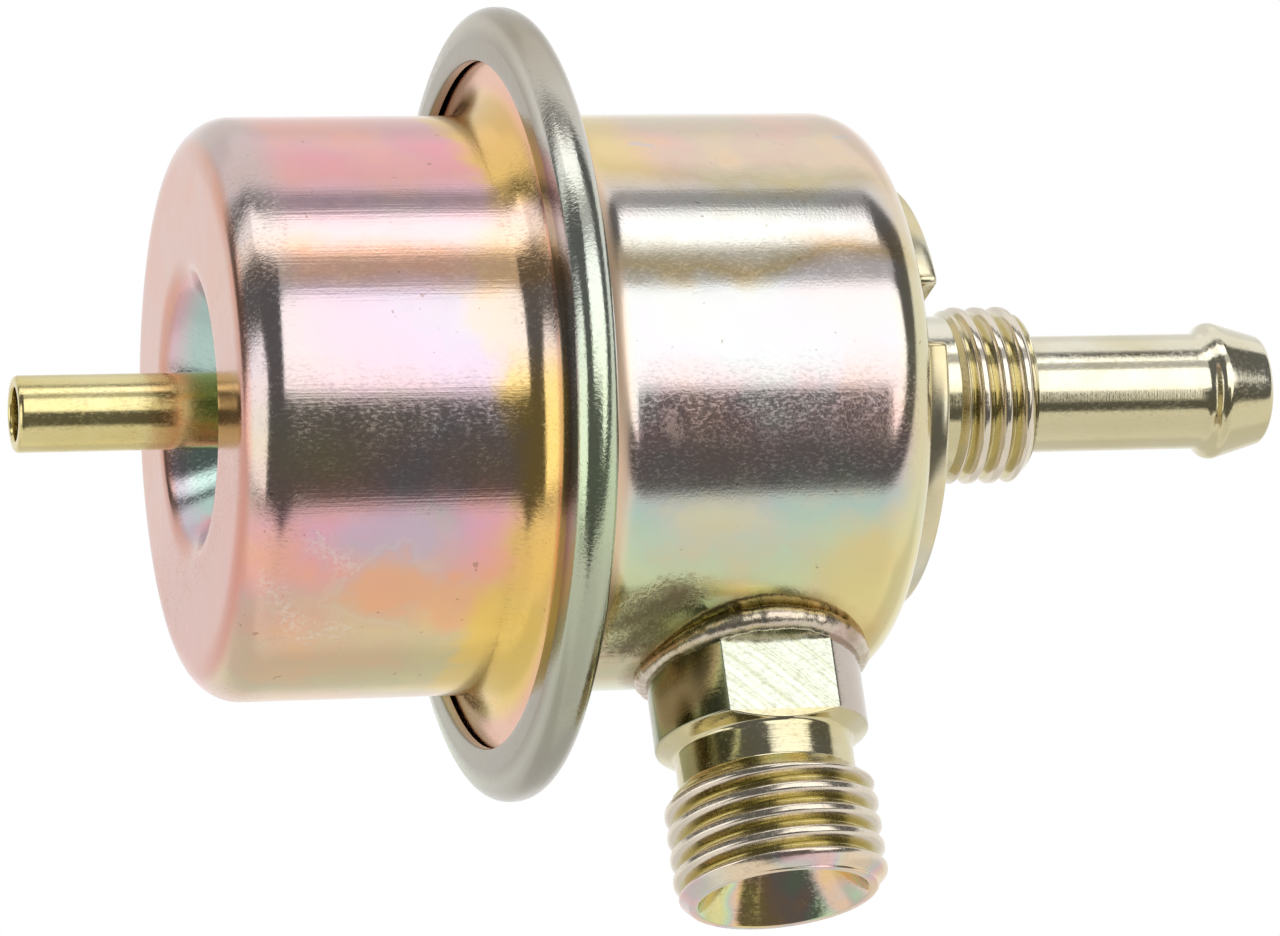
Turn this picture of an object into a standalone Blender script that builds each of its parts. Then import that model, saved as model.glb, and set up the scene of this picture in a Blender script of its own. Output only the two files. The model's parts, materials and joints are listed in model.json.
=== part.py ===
"""Diaphragm fuel pressure regulator with a threaded side inlet and a threaded hose outlet.

The main axis is X. The outlet points along +X, the vacuum nipple along -X and the inlet
along -Z. The origin is the centre of the locating plate's outer face, the face that
seats on the bracket. Lengths are in metres.
"""

import math

import bmesh
import bpy
from mathutils import Matrix, Vector

mm = 0.001
degree = math.pi / 180.0

# Clearances
seat_gap = 0.3 * mm               # between two pieces that rest on or clamp each other
ball_clearance = 0.1 * mm         # turned fit between the ball and what holds it
clamp_gap = 0.2 * mm              # between the layers clamped in the rim
coil_gap = 0.25 * mm              # between the closed end coils of a spring
rim_clearance = 0.5 * mm          # between the spring plate's rim and the diaphragm's loop

# Faces round a full turn, by the size of the piece
large_facets = 32
medium_facets = 24
small_facets = 20
tube_facets = 16

cup_radius = 19.0 * mm            # of the two drawn cups

# Locating plate
plate_thickness = 1.6 * mm
plate_margin = 1.3 * mm           # flat left round the plate on the chamber's end
plate_edge = 0.3 * mm
notch_width = 4.0 * mm
notch_depth = 5.0 * mm

# Fuel chamber, a drawn cup whose edge is rolled over the spring housing's flange
chamber_sheet = 0.7 * mm
chamber_depth = 23.3 * mm         # from the end face to the flange's fuel side
chamber_shoulder = 3.5 * mm
chamber_flange_fillet = 3.0 * mm
flange_width = 7.1 * mm           # from the cups' walls to the rim, a full round
lip_flat = 2.0 * mm

# Diaphragm
diaphragm_thickness = 0.3 * mm
diaphragm_offset = 1.6 * mm       # the centre lies nearer the seat than the clamped edge
diaphragm_bulge = 1.2 * mm
diaphragm_steps = 7

# Spring housing
housing_sheet = 0.7 * mm
housing_depth = 20.1 * mm         # from the flange's outer face to the end face
housing_corner = 3.0 * mm
housing_flange_fillet = 2.6 * mm
recess_radius = 10.1 * mm
recess_rim_round = 2.2 * mm
recess_wall_angle = 60.0 * degree
recess_depth = 5.0 * mm
recess_bottom_fillet = 1.5 * mm

# Vacuum nipple
nipple_radius = 2.5 * mm
nipple_bore_radius = 1.75 * mm
nipple_reach = 11.4 * mm          # beyond the housing's end face
nipple_edge = 0.3 * mm
braze_height = 1.2 * mm
braze_width = 1.3 * mm

# Compression spring and its two seats
spring_mean_radius = 12.2 * mm
spring_wire = 2.2 * mm
spring_turns = 3.75
spring_closed_turns = 1.0         # at each end
spring_steps_per_turn = 18
spring_wire_facets = 6
seat_plate_sheet = 1.0 * mm
seat_plate_step = 1.2 * mm
seat_plate_overhang = 0.6 * mm
seat_plate_chamfer = 0.7 * mm
seat_plate_vent_radius = 2.0 * mm
spring_plate_sheet = 1.0 * mm
spring_plate_rim_height = 3.8 * mm
spring_plate_bend = 1.5 * mm
washer_thickness = 0.8 * mm
washer_radius = 12.5 * mm

# Valve holder, riveted through the diaphragm stack
holder_lip = 1.3 * mm             # wall round the retainer
holder_floor = 1.1 * mm           # between the ball's socket and the shoulder
shank_radius = 3.2 * mm
rivet_head_overlap = 1.8 * mm
rivet_head_height = 1.2 * mm
holder_chamfer = 0.5 * mm
spring_pocket_depth = 2.8 * mm    # beyond the holder's shoulder, into the shank
retainer_sheet = 0.4 * mm
retainer_ledge = 1.9 * mm         # width of the ring beyond the ball's socket
retainer_inset = 0.3 * mm

# Ball and flat valve disc
ball_radius = 2.6 * mm
ball_flat_depth = 0.7 * mm        # ground off the ball
ball_flat_stand = 0.2 * mm        # how far the flat stands out of the holder's mouth
disc_overhang = 0.3 * mm          # beyond the seat
disc_thickness = 1.0 * mm
disc_chamfer = 0.3 * mm
ball_spring_wire = 0.5 * mm
ball_spring_radius = 1.1 * mm
ball_spring_turns = 4.0
ball_spring_closed_turns = 0.5    # at each end
ball_spring_steps_per_turn = 8
ball_spring_facets = 5

# Outlet fitting: seat stem, bracket thread and hose nipple in one turned piece
outlet_thread_radius = 5.93 * mm
neck_relief = 0.58 * mm           # below the thread
neck_length = 3.6 * mm            # from the plate's outer face to the thread
outlet_thread_length = 5.6 * mm
outlet_thread_chamfer = 0.75 * mm
hose_tube_radius = 3.9 * mm
outlet_bore_radius = 2.6 * mm
barb_height = 0.6 * mm
barb_round = 0.9 * mm             # of the crest, and of the fillet at its foot
barb_slope = 48.0 * degree        # of the barb's steep side
barb_position = 22.9 * mm
outlet_reach = 26.5 * mm
outlet_tip_relief = 0.25 * mm     # the tip is this much slimmer than the tube
outlet_tip_round = 0.5 * mm
stem_wall = 1.15 * mm             # round the valve seat
seat_insert_bore = 2.2 * mm
seat_insert_length = 4.0 * mm
seat_insert_stand = 1.0 * mm      # how far it stands out of the stem
seat_land_width = 0.8 * mm
seat_land_height = 0.3 * mm

# Inlet fitting and its weld
inlet_position = -11.8 * mm       # along the main axis
collar_height = 5.05 * mm         # from the chamber's wall to the collar's chamfer
collar_chamfer = 30.0 * degree    # slope of the chamfer down to the neck
inlet_bore_radius = 3.0 * mm
inlet_cone_angle = 30.0 * degree
inlet_thread_radius = 6.93 * mm
inlet_thread_length = 7.7 * mm
inlet_thread_runout = 0.6 * mm
inlet_end_chamfer = 0.83 * mm
inlet_end_land = 0.5 * mm         # flat ring round the mouth
inlet_neck_relief = 1.08 * mm     # below the thread
inlet_neck_length = 2.54 * mm
collar_radius = 7.0 * mm
flat_depth = 1.0 * mm             # milled off the collar on each side
spigot_wall = 1.6 * mm
spigot_protrusion = 0.2 * mm      # past the chamber's inner wall
weld_overhang = 0.7 * mm          # beyond the collar
weld_thickness = 0.45 * mm

cutter_margin = 5.0 * mm          # how far a cutter reaches past what it cuts

# Stations along the main axis that follow from the sizes above
plate_inner_face = -plate_thickness
chamber_end = plate_inner_face - seat_gap
chamber_flange_face = chamber_end - chamber_depth
chamber_clamp_face = chamber_flange_face - chamber_sheet
diaphragm_fuel_face = chamber_clamp_face - clamp_gap
diaphragm_spring_face = diaphragm_fuel_face - diaphragm_thickness
housing_clamp_face = diaphragm_spring_face - clamp_gap
housing_flange_face = housing_clamp_face - housing_sheet
lip_inner_face = housing_flange_face - clamp_gap
lip_face = lip_inner_face - chamber_sheet
rim_round = 0.5 * (chamber_flange_face - lip_face)
housing_end = housing_flange_face - housing_depth
recess_floor = housing_end + recess_depth
recess_floor_inside = recess_floor + housing_sheet
housing_inner_radius = cup_radius - housing_sheet
chamber_inner_radius = cup_radius - chamber_sheet
flange_radius = cup_radius + flange_width
clamp_radius = flange_radius - rim_round
lip_inner_radius = clamp_radius - lip_flat
plate_radius = cup_radius - chamber_shoulder - plate_margin

# The stack that moves with the diaphragm, from the seat towards the spring
clamp_middle = 0.5 * (diaphragm_fuel_face + diaphragm_spring_face)
centre_middle = clamp_middle + diaphragm_offset
washer_spring_face = centre_middle + 0.5 * diaphragm_thickness + seat_gap
washer_fuel_face = washer_spring_face + washer_thickness
holder_shoulder = washer_fuel_face + seat_gap
ball_flat = ball_radius - ball_flat_depth
ball_inset = ball_flat - ball_flat_stand
socket_radius = ball_radius + ball_clearance
holder_mouth = holder_shoulder + holder_floor + socket_radius + ball_inset
spring_plate_fuel_face = centre_middle - 0.5 * diaphragm_thickness - seat_gap
spring_plate_face = spring_plate_fuel_face - spring_plate_sheet
rivet_head_face = spring_plate_face - seat_gap
ball_centre = holder_mouth - ball_inset
disc_back_face = ball_centre + ball_flat + seat_gap
disc_front_face = disc_back_face + disc_thickness
valve_seat_face = disc_front_face + seat_gap
stem_end = valve_seat_face + seat_insert_stand

retainer_radius = socket_radius + retainer_ledge
holder_radius = retainer_radius + seat_gap + holder_lip
spring_pocket_radius = ball_spring_radius + 0.5 * ball_spring_wire + seat_gap
neck_radius = outlet_thread_radius - neck_relief
seat_insert_radius = neck_radius - stem_wall - seat_gap
disc_radius = seat_insert_radius + disc_overhang
barb_radius = hose_tube_radius + barb_height
outlet_tip_radius = hose_tube_radius - outlet_tip_relief
inlet_end_radius = inlet_thread_radius - inlet_end_chamfer
inlet_mouth_radius = inlet_end_radius - inlet_end_land
inlet_neck_radius = inlet_thread_radius - inlet_neck_relief
spigot_radius = inlet_bore_radius + spigot_wall
weld_outer_radius = collar_radius + weld_overhang

# Distances of the inlet fitting's parts from the main axis
collar_end = cup_radius + collar_height
collar_chamfer_height = (collar_radius - inlet_neck_radius) * math.tan(collar_chamfer)
inlet_neck_start = collar_end + collar_chamfer_height
inlet_thread_start = inlet_neck_start + inlet_neck_length
inlet_reach = inlet_thread_start + inlet_thread_length

spring_inner_radius = spring_mean_radius - 0.5 * spring_wire
spring_outer_radius = spring_mean_radius + 0.5 * spring_wire
seat_plate_back_face = recess_floor_inside + seat_gap
spring_start = seat_plate_back_face - seat_plate_step + seat_plate_sheet + seat_gap
spring_end = spring_plate_face - seat_gap
spring_plate_rim_radius = spring_outer_radius + seat_gap + spring_plate_sheet
loop_inner_radius = spring_plate_rim_radius + rim_clearance
loop_outer_radius = housing_inner_radius + seat_gap


def clear_scene():
    """Remove every object that the file opened with."""
    for old in list(bpy.data.objects):
        bpy.data.objects.remove(old, do_unlink=True)


def material(name, colour, metallic, roughness):
    """Return a Principled material with one colour."""
    result = bpy.data.materials.new(name)
    result.use_nodes = True
    shader = result.node_tree.nodes["Principled BSDF"]
    shader.inputs["Base Color"].default_value = (*colour, 1.0)
    shader.inputs["Metallic"].default_value = metallic
    shader.inputs["Roughness"].default_value = roughness
    return result


def finish_object(name, mesh, surface):
    """Link a mesh to the scene as a named object with its material."""
    mesh.materials.append(surface)
    mesh.shade_smooth()
    mesh.set_sharp_from_angle(angle=35.0 * degree)
    made = bpy.data.objects.new(name, mesh)
    bpy.context.scene.collection.objects.link(made)
    return made


def arc(centre, radius, start, end, steps=3):
    """Points on an arc in the profile plane, with angles in degrees from the axis."""
    points = []
    for step in range(steps + 1):
        angle = (start + (end - start) * step / steps) * degree
        along = centre[0] + radius * math.cos(angle)
        out = centre[1] + radius * math.sin(angle)
        points.append((along, out))
    return points


def sheet_profile(first_edge, bends, last_edge, sheet):
    """Closed section of a bent sheet.

    first_edge and last_edge are the sheet's two ends as (face point, back point). Each
    bend is (centre, radius on the face, start angle, end angle, side). side is 1 where
    the sheet lies between the face and the bend's centre, and -1 where it lies beyond.
    """
    face = [first_edge[0]]
    back = [first_edge[1]]
    for centre, radius, start, end, side in bends:
        face += arc(centre, radius, start, end)
        back += arc(centre, radius - side * sheet, start, end)
    face.append(last_edge[0])
    back.append(last_edge[1])
    return face + back[::-1]


def tidy_profile(points):
    """Leave out points that repeat the one before."""
    kept = []
    for point in points:
        if not kept or math.dist(point, kept[-1]) > 1e-6:
            kept.append(point)
    if math.dist(kept[0], kept[-1]) < 1e-6:
        kept.pop()
    return kept


def turned(name, profile, facets, surface, closed=True):
    """Revolve a profile of (along, out) points round the X axis.

    A closed profile makes a ring. An open one starts and ends on the axis.
    """
    shape = bmesh.new()
    corners = [shape.verts.new((along, 0.0, out)) for along, out in tidy_profile(profile)]
    edges = [shape.edges.new(pair) for pair in zip(corners, corners[1:])]
    if closed:
        edges.append(shape.edges.new((corners[-1], corners[0])))
    bmesh.ops.spin(
        shape,
        geom=corners + edges,
        cent=(0.0, 0.0, 0.0),
        axis=(1.0, 0.0, 0.0),
        dvec=(0.0, 0.0, 0.0),
        angle=2.0 * math.pi,
        steps=facets,
        use_merge=True,
    )
    bmesh.ops.remove_doubles(shape, verts=shape.verts, dist=1e-7)
    bmesh.ops.recalc_face_normals(shape, faces=shape.faces)
    mesh = bpy.data.meshes.new(name)
    shape.to_mesh(mesh)
    shape.free()
    return finish_object(name, mesh, surface)


def turn_down(made):
    """Stand a turned piece on the inlet's axis, with its +X end pointing along -Z."""
    made.rotation_euler = (0.0, 90.0 * degree, 0.0)
    made.location = (inlet_position, 0.0, 0.0)
    return made


def make_guide(made):
    """Show a cutter as a wire guide only."""
    made.hide_render = True
    made.display_type = "WIRE"
    return made


def cylinder_guide(name, radius, length, facets, middle, turn="X"):
    """A cutter with the shape of a cylinder along X or Z."""
    shape = bmesh.new()
    bmesh.ops.create_cone(
        shape, cap_ends=True, segments=facets, radius1=radius, radius2=radius, depth=length
    )
    if turn == "X":
        bmesh.ops.rotate(shape, verts=shape.verts, matrix=Matrix.Rotation(90.0 * degree, 3, "Y"))
    mesh = bpy.data.meshes.new(name)
    shape.to_mesh(mesh)
    shape.free()
    guide = bpy.data.objects.new(name, mesh)
    guide.location = middle
    bpy.context.scene.collection.objects.link(guide)
    return make_guide(guide)


def box_guide(name, low, high):
    """A cutter with the shape of a box between two corners."""
    low = Vector(low)
    high = Vector(high)
    shape = bmesh.new()
    bmesh.ops.create_cube(shape, size=1.0)
    bmesh.ops.scale(shape, verts=shape.verts, vec=high - low)
    bmesh.ops.translate(shape, verts=shape.verts, vec=0.5 * (low + high))
    mesh = bpy.data.meshes.new(name)
    shape.to_mesh(mesh)
    shape.free()
    guide = bpy.data.objects.new(name, mesh)
    bpy.context.scene.collection.objects.link(guide)
    return make_guide(guide)


def cut(made, guide, operation="DIFFERENCE"):
    """Cut a piece with a guide."""
    step = made.modifiers.new(guide.name, "BOOLEAN")
    step.operation = operation
    step.solver = "EXACT"
    step.object = guide


def coil(name, mean_radius, wire, start, end, turns, closed_turns, steps, sides, surface):
    """A compression spring along X whose end coils are wound closed."""
    first = start + 0.5 * wire
    last = end - 0.5 * wire
    closed_pitch = wire + coil_gap
    open_turns = turns - 2.0 * closed_turns
    open_pitch = (last - first - 2.0 * closed_turns * closed_pitch) / open_turns

    def centre(turn):
        if turn < closed_turns:
            along = first + closed_pitch * turn
        elif turn > turns - closed_turns:
            along = last - closed_pitch * (turns - turn)
        else:
            along = first + closed_pitch * closed_turns + open_pitch * (turn - closed_turns)
        angle = 2.0 * math.pi * turn
        return Vector((along, mean_radius * math.cos(angle), mean_radius * math.sin(angle)))

    shape = bmesh.new()
    count = round(turns * steps)
    rings = []
    for index in range(count + 1):
        turn = turns * index / count
        middle = centre(turn)
        angle = 2.0 * math.pi * turn
        outward = Vector((0.0, math.cos(angle), math.sin(angle)))
        along = Vector((1.0, 0.0, 0.0))
        ring = []
        for side in range(sides):
            around = 2.0 * math.pi * (side + 0.5) / sides
            offset = outward * math.cos(around) + along * math.sin(around)
            ring.append(shape.verts.new(middle + offset * 0.5 * wire))
        rings.append(ring)
    for here, there in zip(rings, rings[1:]):
        for side in range(sides):
            after = (side + 1) % sides
            shape.faces.new((here[side], here[after], there[after], there[side]))
    shape.faces.new(rings[0])
    shape.faces.new(rings[-1])
    bmesh.ops.recalc_face_normals(shape, faces=shape.faces)
    mesh = bpy.data.meshes.new(name)
    shape.to_mesh(mesh)
    shape.free()
    return finish_object(name, mesh, surface)


def ring_profile(start, end, inner, outer):
    """Section of a plain flat ring."""
    return [(start, inner), (start, outer), (end, outer), (end, inner)]


def make_spring_housing(surface):
    """Drawn cup with a flange and a pressed-in recess round the nipple."""
    hole = nipple_radius + seat_gap
    flange_bend = (
        (housing_flange_face - housing_flange_fillet, cup_radius + housing_flange_fillet),
        housing_flange_fillet, 0.0, -90.0, -1,
    )
    corner = (
        (housing_end + housing_corner, cup_radius - housing_corner),
        housing_corner, 90.0, 180.0, 1,
    )
    wall_angle = recess_wall_angle / degree
    rim_centre = (housing_end + recess_rim_round, recess_radius)
    rim = (rim_centre, recess_rim_round, 180.0, 180.0 + wall_angle, 1)
    wall_start = arc(rim_centre, recess_rim_round, 180.0, 180.0 + wall_angle)[-1]
    fillet_middle = recess_floor - recess_bottom_fillet
    wall_end = fillet_middle + recess_bottom_fillet * math.cos(recess_wall_angle)
    wall_drop = (wall_end - wall_start[0]) / math.tan(recess_wall_angle)
    fillet_out = wall_start[1] - wall_drop - recess_bottom_fillet * math.sin(recess_wall_angle)
    bottom = (
        (fillet_middle, fillet_out), recess_bottom_fillet, wall_angle, 0.0, -1,
    )
    profile = sheet_profile(
        ((housing_flange_face, clamp_radius), (housing_clamp_face, clamp_radius)),
        [flange_bend, corner, rim, bottom],
        ((recess_floor, hole), (recess_floor_inside, hole)),
        housing_sheet,
    )
    return turned("spring_housing", profile, large_facets, surface)


def make_fuel_chamber(surface):
    """Drawn cup whose flange is rolled over the diaphragm and the housing's flange."""
    hole = neck_radius + seat_gap
    rim_centre = (lip_face + rim_round, clamp_radius)
    lip_roll = (rim_centre, rim_round, 180.0, 90.0, 1)
    fuel_roll = (rim_centre, rim_round, 90.0, 0.0, 1)
    flange_bend = (
        (chamber_flange_face + chamber_flange_fillet, cup_radius + chamber_flange_fillet),
        chamber_flange_fillet, 180.0, 270.0, -1,
    )
    shoulder = (
        (chamber_end - chamber_shoulder, cup_radius - chamber_shoulder),
        chamber_shoulder, 90.0, 0.0, 1,
    )
    profile = sheet_profile(
        ((lip_face, lip_inner_radius), (lip_inner_face, lip_inner_radius)),
        [lip_roll, fuel_roll, flange_bend, shoulder],
        ((chamber_end, hole), (chamber_end - chamber_sheet, hole)),
        chamber_sheet,
    )
    chamber = turned("fuel_chamber", profile, large_facets, surface)
    depth = cup_radius + cutter_margin - spigot_radius
    hole_guide = cylinder_guide(
        "inlet_hole_guide", spigot_radius + seat_gap, depth, medium_facets,
        (inlet_position, 0.0, -spigot_radius - 0.5 * depth), turn="Z",
    )
    cut(chamber, hole_guide)
    return chamber


def make_diaphragm(surface):
    """Thin disc with a rolling loop, its edge clamped in the flange."""
    half = 0.5 * diaphragm_thickness
    hole = shank_radius + seat_gap
    fuel_side = [(clamp_middle + half, clamp_radius)]
    spring_side = [(clamp_middle - half, clamp_radius)]
    for step in range(diaphragm_steps + 1):
        share = step / diaphragm_steps
        out = loop_outer_radius + (loop_inner_radius - loop_outer_radius) * share
        ease = share * share * (3.0 - 2.0 * share)
        middle = clamp_middle + diaphragm_offset * ease
        middle -= diaphragm_bulge * math.sin(math.pi * share)
        fuel_side.append((middle + half, out))
        spring_side.append((middle - half, out))
    fuel_side.append((centre_middle + half, hole))
    spring_side.append((centre_middle - half, hole))
    return turned("diaphragm", fuel_side + spring_side[::-1], medium_facets, surface)


def make_vacuum_nipple(surface):
    """Straight tube through the recess's floor, with a rounded outer end."""
    end = housing_end - nipple_reach
    profile = [
        (recess_floor_inside, nipple_bore_radius),
        (recess_floor_inside, nipple_radius),
        (end + nipple_edge, nipple_radius),
        (end, nipple_radius - nipple_edge),
        (end, nipple_bore_radius),
    ]
    return turned("vacuum_nipple", profile, tube_facets, surface)


def make_nipple_braze_ring(surface):
    """Braze fillet round the nipple, on the recess's floor."""
    floor = recess_floor - seat_gap
    inner = nipple_radius + seat_gap
    profile = [(floor, inner), (floor, inner + braze_width), (floor - braze_height, inner)]
    return turned("nipple_braze_ring", profile, tube_facets, surface)


def make_upper_spring_seat(surface):
    """Stepped disc between the recess's floor and the spring."""
    boss_radius = spring_inner_radius - seat_gap
    back = seat_plate_back_face
    front = back + seat_plate_sheet
    outer_front = front - seat_plate_step
    outer_radius = spring_outer_radius + seat_plate_overhang
    profile = [
        (front, seat_plate_vent_radius),
        (front, boss_radius - seat_plate_chamfer),
        (front - seat_plate_chamfer, boss_radius),
        (outer_front, boss_radius),
        (outer_front, outer_radius),
        (outer_front - seat_plate_sheet, outer_radius),
        (outer_front - seat_plate_sheet, boss_radius - seat_plate_chamfer),
        (back, boss_radius - 2.0 * seat_plate_chamfer),
        (back, seat_plate_vent_radius),
    ]
    return turned("upper_spring_seat", profile, medium_facets, surface)


def make_spring_plate(surface):
    """Dished plate that carries the spring on the diaphragm."""
    hole = shank_radius + seat_gap
    rim = (
        (spring_plate_fuel_face - spring_plate_bend, spring_plate_rim_radius - spring_plate_bend),
        spring_plate_bend, 0.0, 90.0, 1,
    )
    edge = spring_plate_fuel_face - spring_plate_rim_height
    profile = sheet_profile(
        ((spring_plate_fuel_face, hole), (spring_plate_face, hole)),
        [rim],
        ((edge, spring_plate_rim_radius), (edge, spring_plate_rim_radius - spring_plate_sheet)),
        spring_plate_sheet,
    )
    return turned("spring_plate", profile, medium_facets, surface)


def make_support_washer(surface):
    """Washer that backs the diaphragm on the fuel side."""
    hole = shank_radius + seat_gap
    profile = ring_profile(washer_spring_face, washer_fuel_face, hole, washer_radius)
    return turned("support_washer", profile, medium_facets, surface)


def make_valve_holder(surface):
    """Turned holder: ball socket, shank through the stack, and riveted head."""
    socket_floor = ball_centre - socket_radius
    retainer_back = holder_mouth - retainer_inset - retainer_sheet
    counterbore = retainer_radius + seat_gap
    pocket_floor = holder_shoulder - spring_pocket_depth
    head_top = rivet_head_face - rivet_head_height
    profile = [
        (pocket_floor, 0.0),
        (pocket_floor, spring_pocket_radius),
        (socket_floor, spring_pocket_radius),
        (ball_centre - 0.5 * socket_radius, socket_radius),
        (retainer_back - seat_gap, socket_radius),
        (retainer_back - seat_gap, counterbore),
        (holder_mouth, counterbore),
        (holder_mouth, holder_radius - holder_chamfer),
        (holder_mouth - holder_chamfer, holder_radius),
        (holder_shoulder, holder_radius),
        (holder_shoulder, shank_radius),
        (rivet_head_face, shank_radius),
        (rivet_head_face, shank_radius + rivet_head_overlap),
        (head_top + holder_chamfer, shank_radius + rivet_head_overlap),
        (head_top, shank_radius + rivet_head_overlap - 2.0 * holder_chamfer),
        (head_top, 0.0),
    ]
    return turned("valve_holder", profile, small_facets, surface, closed=False)


def make_ball_spring(surface):
    """Small spring that holds the ball against its retainer."""
    start = holder_shoulder - spring_pocket_depth + seat_gap
    half_wire = 0.5 * ball_spring_wire
    reach = ball_radius + half_wire + seat_gap
    end = ball_centre - math.sqrt(reach ** 2 - ball_spring_radius ** 2) + half_wire
    return coil(
        "ball_spring", ball_spring_radius, ball_spring_wire, start, end, ball_spring_turns,
        ball_spring_closed_turns, ball_spring_steps_per_turn, ball_spring_facets, surface,
    )


def make_ball_retainer(surface):
    """Stamped ring in the holder's mouth that keeps the ball in."""
    back = holder_mouth - retainer_inset - retainer_sheet
    front = back + retainer_sheet
    back_radius = math.sqrt(ball_radius ** 2 - (back - ball_centre) ** 2)
    inner = back_radius + ball_clearance
    return turned(
        "ball_retainer", ring_profile(back, front, inner, retainer_radius), small_facets, surface
    )


def make_valve_ball(surface):
    """Ball with one ground flat, free to swivel in the holder."""
    flat_angle = math.acos(ball_flat / ball_radius) / degree
    profile = [(ball_centre + ball_flat, 0.0)]
    profile += arc((ball_centre, 0.0), ball_radius, flat_angle, 180.0, steps=7)[:-1]
    profile.append((ball_centre - ball_radius, 0.0))
    return turned("valve_ball", profile, tube_facets, surface, closed=False)


def make_valve_disc(surface):
    """Flat valve disc on the ball's ground face."""
    profile = [
        (disc_back_face, 0.0),
        (disc_back_face, disc_radius - disc_chamfer),
        (disc_back_face + disc_chamfer, disc_radius),
        (disc_front_face, disc_radius),
        (disc_front_face, 0.0),
    ]
    return turned("valve_disc", profile, small_facets, surface, closed=False)


def make_valve_seat(surface):
    """Hardened seat pressed into the end of the outlet fitting's stem."""
    land_face = valve_seat_face
    land_radius = seat_insert_bore + seat_land_width
    shoulder = land_face + seat_land_height
    profile = [
        (land_face, seat_insert_bore),
        (land_face, land_radius),
        (shoulder, land_radius + seat_land_height),
        (shoulder, seat_insert_radius),
        (land_face + seat_insert_length, seat_insert_radius),
        (land_face + seat_insert_length, seat_insert_bore),
    ]
    return turned("valve_seat", profile, small_facets, surface)


def make_outlet_fitting(surface):
    """Turned fitting: stem, neck, bracket thread as a plain land, and hose nipple."""
    pocket_floor = valve_seat_face + seat_insert_length + seat_gap
    thread_end = neck_length + outlet_thread_length
    tip = outlet_reach
    crest_centre = (barb_position, barb_radius - barb_round)
    foot = barb_position - 2.0 * barb_round * math.sin(barb_slope)
    foot_centre = (foot, hose_tube_radius + barb_round)
    steep = barb_slope / degree
    shallow = math.atan2(barb_radius - outlet_tip_radius, tip - barb_position) / degree
    tip_centre = (tip - outlet_tip_round, outlet_tip_radius - outlet_tip_round)
    nose = arc(foot_centre, barb_round, 270.0, 270.0 + steep, steps=2)
    nose += arc(crest_centre, barb_round, 90.0 + steep, 90.0 - shallow, steps=2)
    nose += arc(tip_centre, outlet_tip_round, 90.0 - shallow, 0.0, steps=2)
    profile = [
        (stem_end, seat_insert_radius + seat_gap),
        (stem_end, neck_radius),
        (neck_length, neck_radius),
        (neck_length + outlet_thread_radius - neck_radius, outlet_thread_radius),
        (thread_end - outlet_thread_chamfer, outlet_thread_radius),
        (thread_end, outlet_thread_radius - outlet_thread_chamfer),
        (thread_end, hose_tube_radius),
        *nose,
        (tip, outlet_bore_radius),
        (pocket_floor, outlet_bore_radius),
        (pocket_floor, seat_insert_radius + seat_gap),
    ]
    return turned("outlet_fitting", profile, medium_facets, surface)


def make_outlet_braze_ring(surface):
    """Braze fillet round the outlet fitting, inside the chamber's end."""
    face = chamber_end - chamber_sheet - seat_gap
    inner = neck_radius + seat_gap
    profile = [(face, inner), (face, inner + braze_width), (face - braze_height, inner)]
    return turned("outlet_braze_ring", profile, tube_facets, surface)


def make_locating_plate(surface):
    """Stamped disc with one notch that takes the bracket's tab."""
    hole = neck_radius + seat_gap
    profile = [
        (0.0, hole),
        (0.0, plate_radius - plate_edge),
        (-plate_edge, plate_radius),
        (plate_inner_face, plate_radius),
        (plate_inner_face, hole),
    ]
    plate = turned("locating_plate", profile, large_facets, surface)
    half = 0.5 * notch_width
    notch = box_guide(
        "notch_guide",
        (plate_inner_face - cutter_margin, -plate_radius - cutter_margin, -half),
        (cutter_margin, -plate_radius + notch_depth, half),
    )
    cut(plate, notch)
    return plate


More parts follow.
